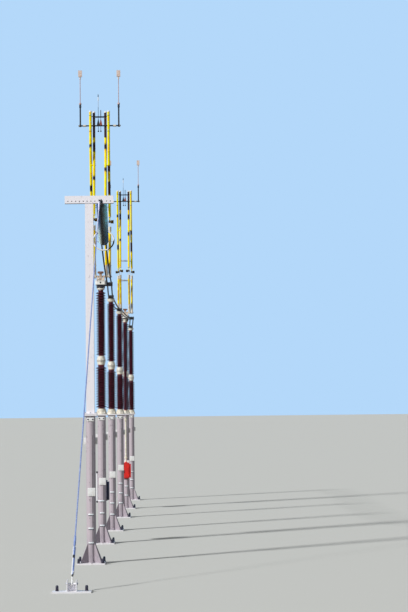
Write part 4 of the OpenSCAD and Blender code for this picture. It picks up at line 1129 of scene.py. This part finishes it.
# The two bars are lit and shaded copies: the near bar takes the guy's blue grey as painted shade
piece("turnbuckle_near_bar", placed(bar, shaded_bar), guy_strand)
thread = turned([(0.0153 + 0.0022 * (k % 2), 0.075 + 0.005 * k) for k in range(31)], 16)
nuts = placed(turned("30,0 30,26 26,30", 6), on_guy(0.199), on_guy(0.81))
piece("turnbuckle_threads", joined(placed(thread, on_guy(0)), nuts), white_enamel)
print("turnbuckle:", triangles["turnbuckle"], "triangles")

# %% Anchor
anchor_bolt_x, cheek_out = 0.2875, 0.1001
anchor_bolts = mirrored(anchor_bolt_x, 0, plate_t)
pin_heads = placed(turned("26,0 26,10 18,11 18,20"), *outward(cheek_out, 0, pin_rise))
piece("anchor_caps", placed(cap, *anchor_bolts), cap_plastic,
      move=anchor + (0, 0, 0.004))
piece("anchor_fittings", joined(pin_heads, placed(anchor_washer, *anchor_bolts)), bolt_zinc,
      move=anchor)
print("anchor at", [round(float(v), 2) for v in anchor])

# %% Tail of the rope


def along_guy(points, r, section):
    """A round bar through points at a distance, over and out of the guy's line."""
    return carried([on_guy(*p)[:3, 3] for p in points], circle(r, section), (1, 0, 0))


tail = along_guy([(0.97, 0, 0.020), (0.90, 0, 0.040), (0.60, 0.004, 0.060)], 0.0145, 12)
wire = along_guy([(0.61, 0.004, 0.060), (0.40, 0.004, 0.056), (0.17, 0, 0.030)], 0.006, 10)
piece("guy_tail", joined(tail, wire), guy_strand)
knobs = joined(placed(turned("16,0 21,8 21,50 16,58", 16), on_guy(0.56, 0.004, 0.060)),
               placed(turned("11,0 14,6 14,34 11,40", 16), on_guy(0.15, 0, 0.030)))
piece("guy_tail_knobs", knobs, rubber)
print("tail:", triangles["guy_tail"], "triangles")

# %% Web between the cheeks
web_y = 0.055
web = placed(block(0.178, 0.010, 0.125, 0.002, 0.001), at(0, web_y, plate_t - 0.002))
piece("anchor_web", web, anchor_zinc, move=anchor)
print("web:", triangles["anchor_web"], "triangles")

# %% [markdown]
# ## Conductor clamps
# The twin conductor rests in a split block on each plain post. Beside a disconnector it passes in a
# block on an arm. Bolts close each keeper on a gasket that shows as a dark line. The blocks are the
# frame's own. A bolt is one small shape, placed wherever the rows of sizes say.

# %% Clamps
gasket = block(0.172, 0.092, 0.003, 0.001, 0.0005)
keeper_bolt = hex_bolt(0.010, 0.009, 0.008)
keeper_spots = [(x, y) for x in (-0.078, 0.0, 0.078) for y in (-0.03, 0.03)]
foot_spots = [(x, y) for x in (-0.0755, 0.0755) for y in (-0.06, 0.06)]
keeper_top, foot_top = 0.034, 0.02
gaskets, bolts = [], []
for hold, n in zip(holds[1:], posts):
    x, y, z = hold
    gaskets.append(placed(gasket, at(x, y, z - 0.0015)))
    bolts += [at(x + bx, y + by, z + keeper_top) for bx, by in keeper_spots]
    if n not in drives:
        bolts += [at(x + bx, y + by, insulator_top + foot_top) for bx, by in foot_spots]
piece("clamp_gaskets", joined(*gaskets), rubber)
piece("clamp_bolts", placed(keeper_bolt, *bolts), bolt_zinc)
print("clamp bolts:", len(bolts))

# %% [markdown]
# ## Drive housings
# A cast box with a lid turns the rotation of the slim insulator into the arms' swing. Screws run round
# the lid, and the pivot shaft ends in domed caps outside the arms' hubs. The box is the frame's own.
# The two housings face opposite ways, so each row of screws is worked out from the side it faces.

# %% Housing fittings
lid_half, screw_out, hub_end = 0.1375, 0.0065, 0.279
front_end, back_end = 0.15, 0.445
buffer_x, buffer_rise = 0.0745, 0.115
shaft_caps = placed(turned("30,0 30,6 24,7 22,20 12,27"), *outward(hub_end, 0, pivot_z))
bonnet = placed(block(0.196, 0.09, 0.075, 0.012, 0.008), at(0, 0, housing_top - 0.002))
bonnet_plug = turned("26,0 26,3 20,4 18,1")
front_plug = turned("22,0 22,4 17,6 14,5")
buffer_bolts = placed(hex_bolt(0.016, 0.010), *outward(buffer_x, 0, pivot_z + buffer_rise))
for n, side in drives.items():
    near, back = -side * front_end, side * back_end
    rows = np.linspace(near + side * 0.04, back - side * 0.04, 7)
    z = housing_top - 0.008
    screws = [across(s * (lid_half + screw_out), y, z, s) for s in (-1, 1) for y in rows]
    for y, way in ((near - side * screw_out, -side), (back + side * screw_out, side)):
        screws += [at(x, y, z, ahead=(0, way, 0)) for x in (-0.08, 0, 0.08)]
    screws = joined(placed(hex_bolt(0.007, 0.006), *screws), shaft_caps, buffer_bolts)
    ends = [(x, near, housing_top - 0.018) for x in (-0.6 * lid_half, 0.6 * lid_half)]
    groove = carried(ends, circle(0.003, 8), (0, 0, 1))
    plugs = joined(placed(front_plug, at(0, near, housing_low + 0.05, ahead=(0, -side, 0))),
                   placed(bonnet_plug, at(-0.025, -side * 0.045, housing_top + 0.036, ahead=(0, -side, 0))))
    dress(n, where[n], "housing", housing_screws=(screws, bolt_zinc),
          housing_plug=(joined(groove, plugs), rubber), housing_bonnet=(bonnet, root_paint))
print("housing from %.3f to %.3f m" % (housing_low, housing_top))

# %% [markdown]
# ## Pantograph arms
# This mechanism is the bay's finest work. Two lower arms swing apart on one shaft; each carries an
# upper arm on a knee, and the two upper arms cross, so their tips close on the bar like scissors. The
# pieces here are bolts, rims and bands. A point on an arm is found by walking a distance s from its
# pivot and x across the row, with the built closing angle of ten degrees.

# %% Places on the arms
frames = {"front": (-1, 0.155), "back": (1, 0.245)}


def on_lower(way, s, x, toward=None):
    """On a lower arm, which leans out by the closed angle: (0, way s sin, s cos) from its pivot."""
    ahead = np.array([0, way * math.sin(closed), math.cos(closed)])
    return at(x, s * ahead[1], pivot_z + s * ahead[2], ahead=ahead if toward is None else toward)


def on_upper(way, s, x):
    """On an upper arm below its crank, which leans back in from the knee."""
    ahead = np.array([0, -way * math.sin(closed), math.cos(closed)])
    return at(x, way * lower_l * math.sin(closed) + s * ahead[1], knee_z + s * ahead[2], ahead=ahead)


def on_rail(way, z, x, out=0.0, toward=(0, 0, 1)):
    """On the upright rail of an upper arm at a height, moved out of the bar's plane by a distance."""
    return at(x, -way * (rail_off + out), z, ahead=toward)


# %% Lower arms
root_rim = turned("41.5,0 43.5,2 43.5,22 41.5,24", 28)
ferrule_rim = turned("40.5,0 42.5,2 42.5,14 40.5,16", 28)
small_bolt = hex_bolt(0.008, 0.007, 0.004)
root_rim_s, ferrule_rim_s = 0.295, (1.279, 1.375)
bolt_rows = ((1.31, 0.0415), (1.36, 0.0415), (0.19, 0.0395), (0.25, 0.0395))
for which, (way, x) in frames.items():
    rims = [on_lower(way, root_rim_s, s * x) for s in (-1, 1)]
    ferrules = [on_lower(way, t, s * x) for s in (-1, 1) for t in ferrule_rim_s]
    rims = joined(placed(root_rim, *rims), placed(ferrule_rim, *ferrules))
    face = np.array([0, way * math.cos(closed), -math.sin(closed)])
    bolts = []
    for t, out in bolt_rows:
        for s in (-1, 1):
            for k in (-1, 1):
                place = on_lower(way, t, s * x, toward=k * face)
                place[:3, 3] += k * out * face
                bolts.append(place)
    bolts = placed(small_bolt, *bolts)
    for n in drives:
        dress(which + "_" + n, where[n], "arm_paint", "lower_%s_%s" % (which, n),
              arm_rims=(rims, root_paint), arm_bolts=(bolts, bolt_zinc))
print("bolts on a lower frame:", triangles["arm_bolts_front_2"], "triangles")

# %% Upper arms
band = turned("35.5,0 37.2,1 37.2,11 35.5,12", 28)
eye_rim = turned("39.5,-4 40.5,0 40.5,8 35.5,14", 28)
band_heights = {"front": (10.62,), "back": (11.07, 11.50)}
cross_cap = turned("20,-4 20,4 12,9", 20)
crossing_z = knee_z + lower_l * math.cos(closed)
rail_half, first_bolt, eye_s, cap_x = 0.034, 0.48, 0.13, 0.1215
for which, (way, x) in frames.items():
    heights = np.linspace(crank_z + first_bolt, tip_z - 0.06, 6)[1::2]
    rail_bolts = [on_rail(way, z, s * x, rail_half, (0, -way, 0)) for z in heights for s in (-1, 1)]
    rail_bolts = placed(small_bolt, *rail_bolts)
    bands = placed(band, *(on_rail(way, z, s * x) for z in band_heights[which] for s in (-1, 1)))
    eyes = placed(eye_rim, *(on_upper(way, eye_s, s * x) for s in (-1, 1)))
    for n in drives:
        body, tail = "upper_%s_%s" % (which, n), which + "_" + n
        dress(tail, where[n], "contact", body, rail_bolts=(rail_bolts, bolt_zinc),
              rail_bands=(bands, strip_copper))
        dress(tail, where[n], "arm_paint", body, eye_rims=(eyes, root_paint))
pins = placed(cross_cap, *(across(s * cap_x, 0, crossing_z, -s) for s in (-1, 1)))
for n in drives:
    piece("cross_caps_" + n, pins, bolt_zinc, "upper_front_" + n, move=where[n])
print("upper arms cross at %.3f m" % crossing_z)

# %% [markdown]
# ## Trapezes
# The bar hangs on two rods from clamps overhead. Cream collars sit near its ends, and two arcing
# horns stand through its middle, each with a gusset: one dark, the other orange with rust. All of it
# is turned but the gussets, which are flat outlines with a thickness. The heights follow from the arms
# that grip the bar, so both stay together if an arm's length changes.

# %% Trapeze fittings
rod_x, horn_x, collar_x = 0.52, 0.034, 0.41
collar = turned("22,0 28,3 28,77 22,80", 28)
collars = placed(collar, *(across(s * collar_x - 0.04, 0, bar_z) for s in (-1, 1)))
end_caps = placed(turned("32.5,0 33.5,2 33.5,8 22,12 12,13"), *outward(0.545, 0, bar_z))
horn_tips = placed(turned("10.5,0 10.5,75 8,78 8,88 10.5,91 10.5,155 4,170", 16),
                   at(-horn_x, 0, bar_z + 0.69), at(horn_x, 0, bar_z + 0.26))
rod_sleeve = turned([(0.0205, 0), (0.0205, hanger_foot - 0.07)])
rod_sleeves = placed(rod_sleeve, *mirrored(rod_x, 0, bar_z + 0.033))
ferrule = turned("23.5,-65 29,-62 30,-16 26,-12 26,12 32,16 32,60 23.5,65")
ferrules = placed(ferrule, *mirrored(rod_x, 0, hanger_joint_z))
ball = turned("3,-21 12,-17.5 18.5,-10.5 21.3,0 18.5,10.5 12,17.5 6.5,21", 20)
balls = placed(ball, *mirrored(horn_x, 0, bar_z - 0.15))
leaf = plate_of(mm("12,42 12,-42 190,-4.5 190,4.5"), 0.0048)
left_leaf, right_leaf = (placed(leaf, place) for place in mirrored(horn_x, 0, bar_z))
clamp_bolt_places = [at(s * rod_x + x, y, clamp_z + 0.05)
                     for s in (-1, 1) for x in (-0.034, 0.034) for y in (-0.02, 0.02)]
clamp_bolts = placed(hex_bolt(0.009, 0.008, 0.006), *clamp_bolt_places)
for n in drives:
    dress(n, where[n], "trapeze", bar_collars=(joined(collars, end_caps), root_paint),
          trapeze_joints=(joined(ferrules, balls, rod_sleeves), hanger_rod),
          horn_tips=(horn_tips, trapeze_rod), horn_gusset_left=(left_leaf, dark_rod),
          horn_gusset_right=(right_leaf, rust), rope_clamp_bolts=(clamp_bolts, bolt_zinc))
print("trapezes dressed:", len(drives))

# %% [markdown]
# ## Motor boxes and drive shafts
# A sheet box holds each drive's motor. It has a door on hinges with a gasket, a turning handle and
# cable glands below. The shaft above it is joined by two flanged couplings. Box and shaft are the
# frame's own. The gasket is a thin round bar carried round the door's outline, the cover and the handle
# are rounded blocks, and hinges, glands, knob and couplings are turned.

# %% Couplings
coupling = turned("38,-55 40,-53 40,-10 62,-9 62,-1 59,0 62,1 62,9 40,10 40,53 38,55", 28)
joint_heights = (1.85, 3.22)
coupling_bolts = [place for z in joint_heights for k, way in ((-0.009, down), (0.009, at))
                  for place in ring_of(6, 0.051, z + k, way=way)]
couplings = joined(placed(coupling, *(at(0, 0, z) for z in joint_heights)),
                   placed(hex_bolt(0.006, 0.006, 0.003), *coupling_bolts))
print("bolts on a shaft's couplings:", len(coupling_bolts))

# %% Motor boxes
box_low, box_high, box_half_d, box_w, door_l = 1.12, 1.67, 0.11, 0.215, 0.506
hinge_x, hinge_heights = 0.113, (1.20, 1.50)
handle_x, knob_z, lever_z = 0.07, 1.39, 1.36
hinge = turned("8,0 8,30 6.5,30.5 6.5,32 8,32.5 8,62", 12)
gland = turned("10,-45 14,-44 14,-30 18,-28 18,-12 20,-10 20,0", 12)
glands = placed(gland, *(at(x, y, box_low - 0.019) for x in (-0.045, 0.0, 0.045) for y in (-0.025, 0.025)))
knob = turned("16,0 16,8 10,10 10,20", 16)
lever = block(0.016, 0.11, 0.012, 0.006, 0.003)
hatch = placed(block(0.055, 0.19, box_high - box_low - 0.06, 0.008, 0.004), at(0.150, 0, box_low + 0.02))
rim = np.array([(x, 0, z) for x, z in rounded(box_w, door_l, 0.010)])
rim = np.concatenate([rim, rim[:1]])
for n, side in drives.items():
    spot = joint_at["rotor_turn_" + n] * (1, 1, 0)
    face = side * (box_half_d + 0.010)
    hinges = placed(hinge, *(at(-side * hinge_x, face - side * 0.003, z) for z in hinge_heights))
    gasket = carried(rim + (0, side * (box_half_d + 0.0015), (box_low + box_high) / 2 - 0.007),
                     circle(0.0035, 8), (0, 1, 0))
    handle = joined(placed(knob, at(side * handle_x, face, knob_z, ahead=(0, side, 0))),
                    placed(lever, at(side * handle_x, face + side * 0.018, lever_z, ahead=(0, side, 0))))
    dress(n, spot, "box_paint", box_side=(hatch, box_paint[n]), box_hinges=(hinges, box_paint[n]),
          box_rubber=(joined(gasket, handle, glands), rubber))
    dress(n, spot, "shaft", "rotor_" + n, couplings=(couplings, shaft_paint))
print("pieces:", len(triangles), "triangles:", sum(triangles.values()))
print("largest piece:", max(triangles.values()))
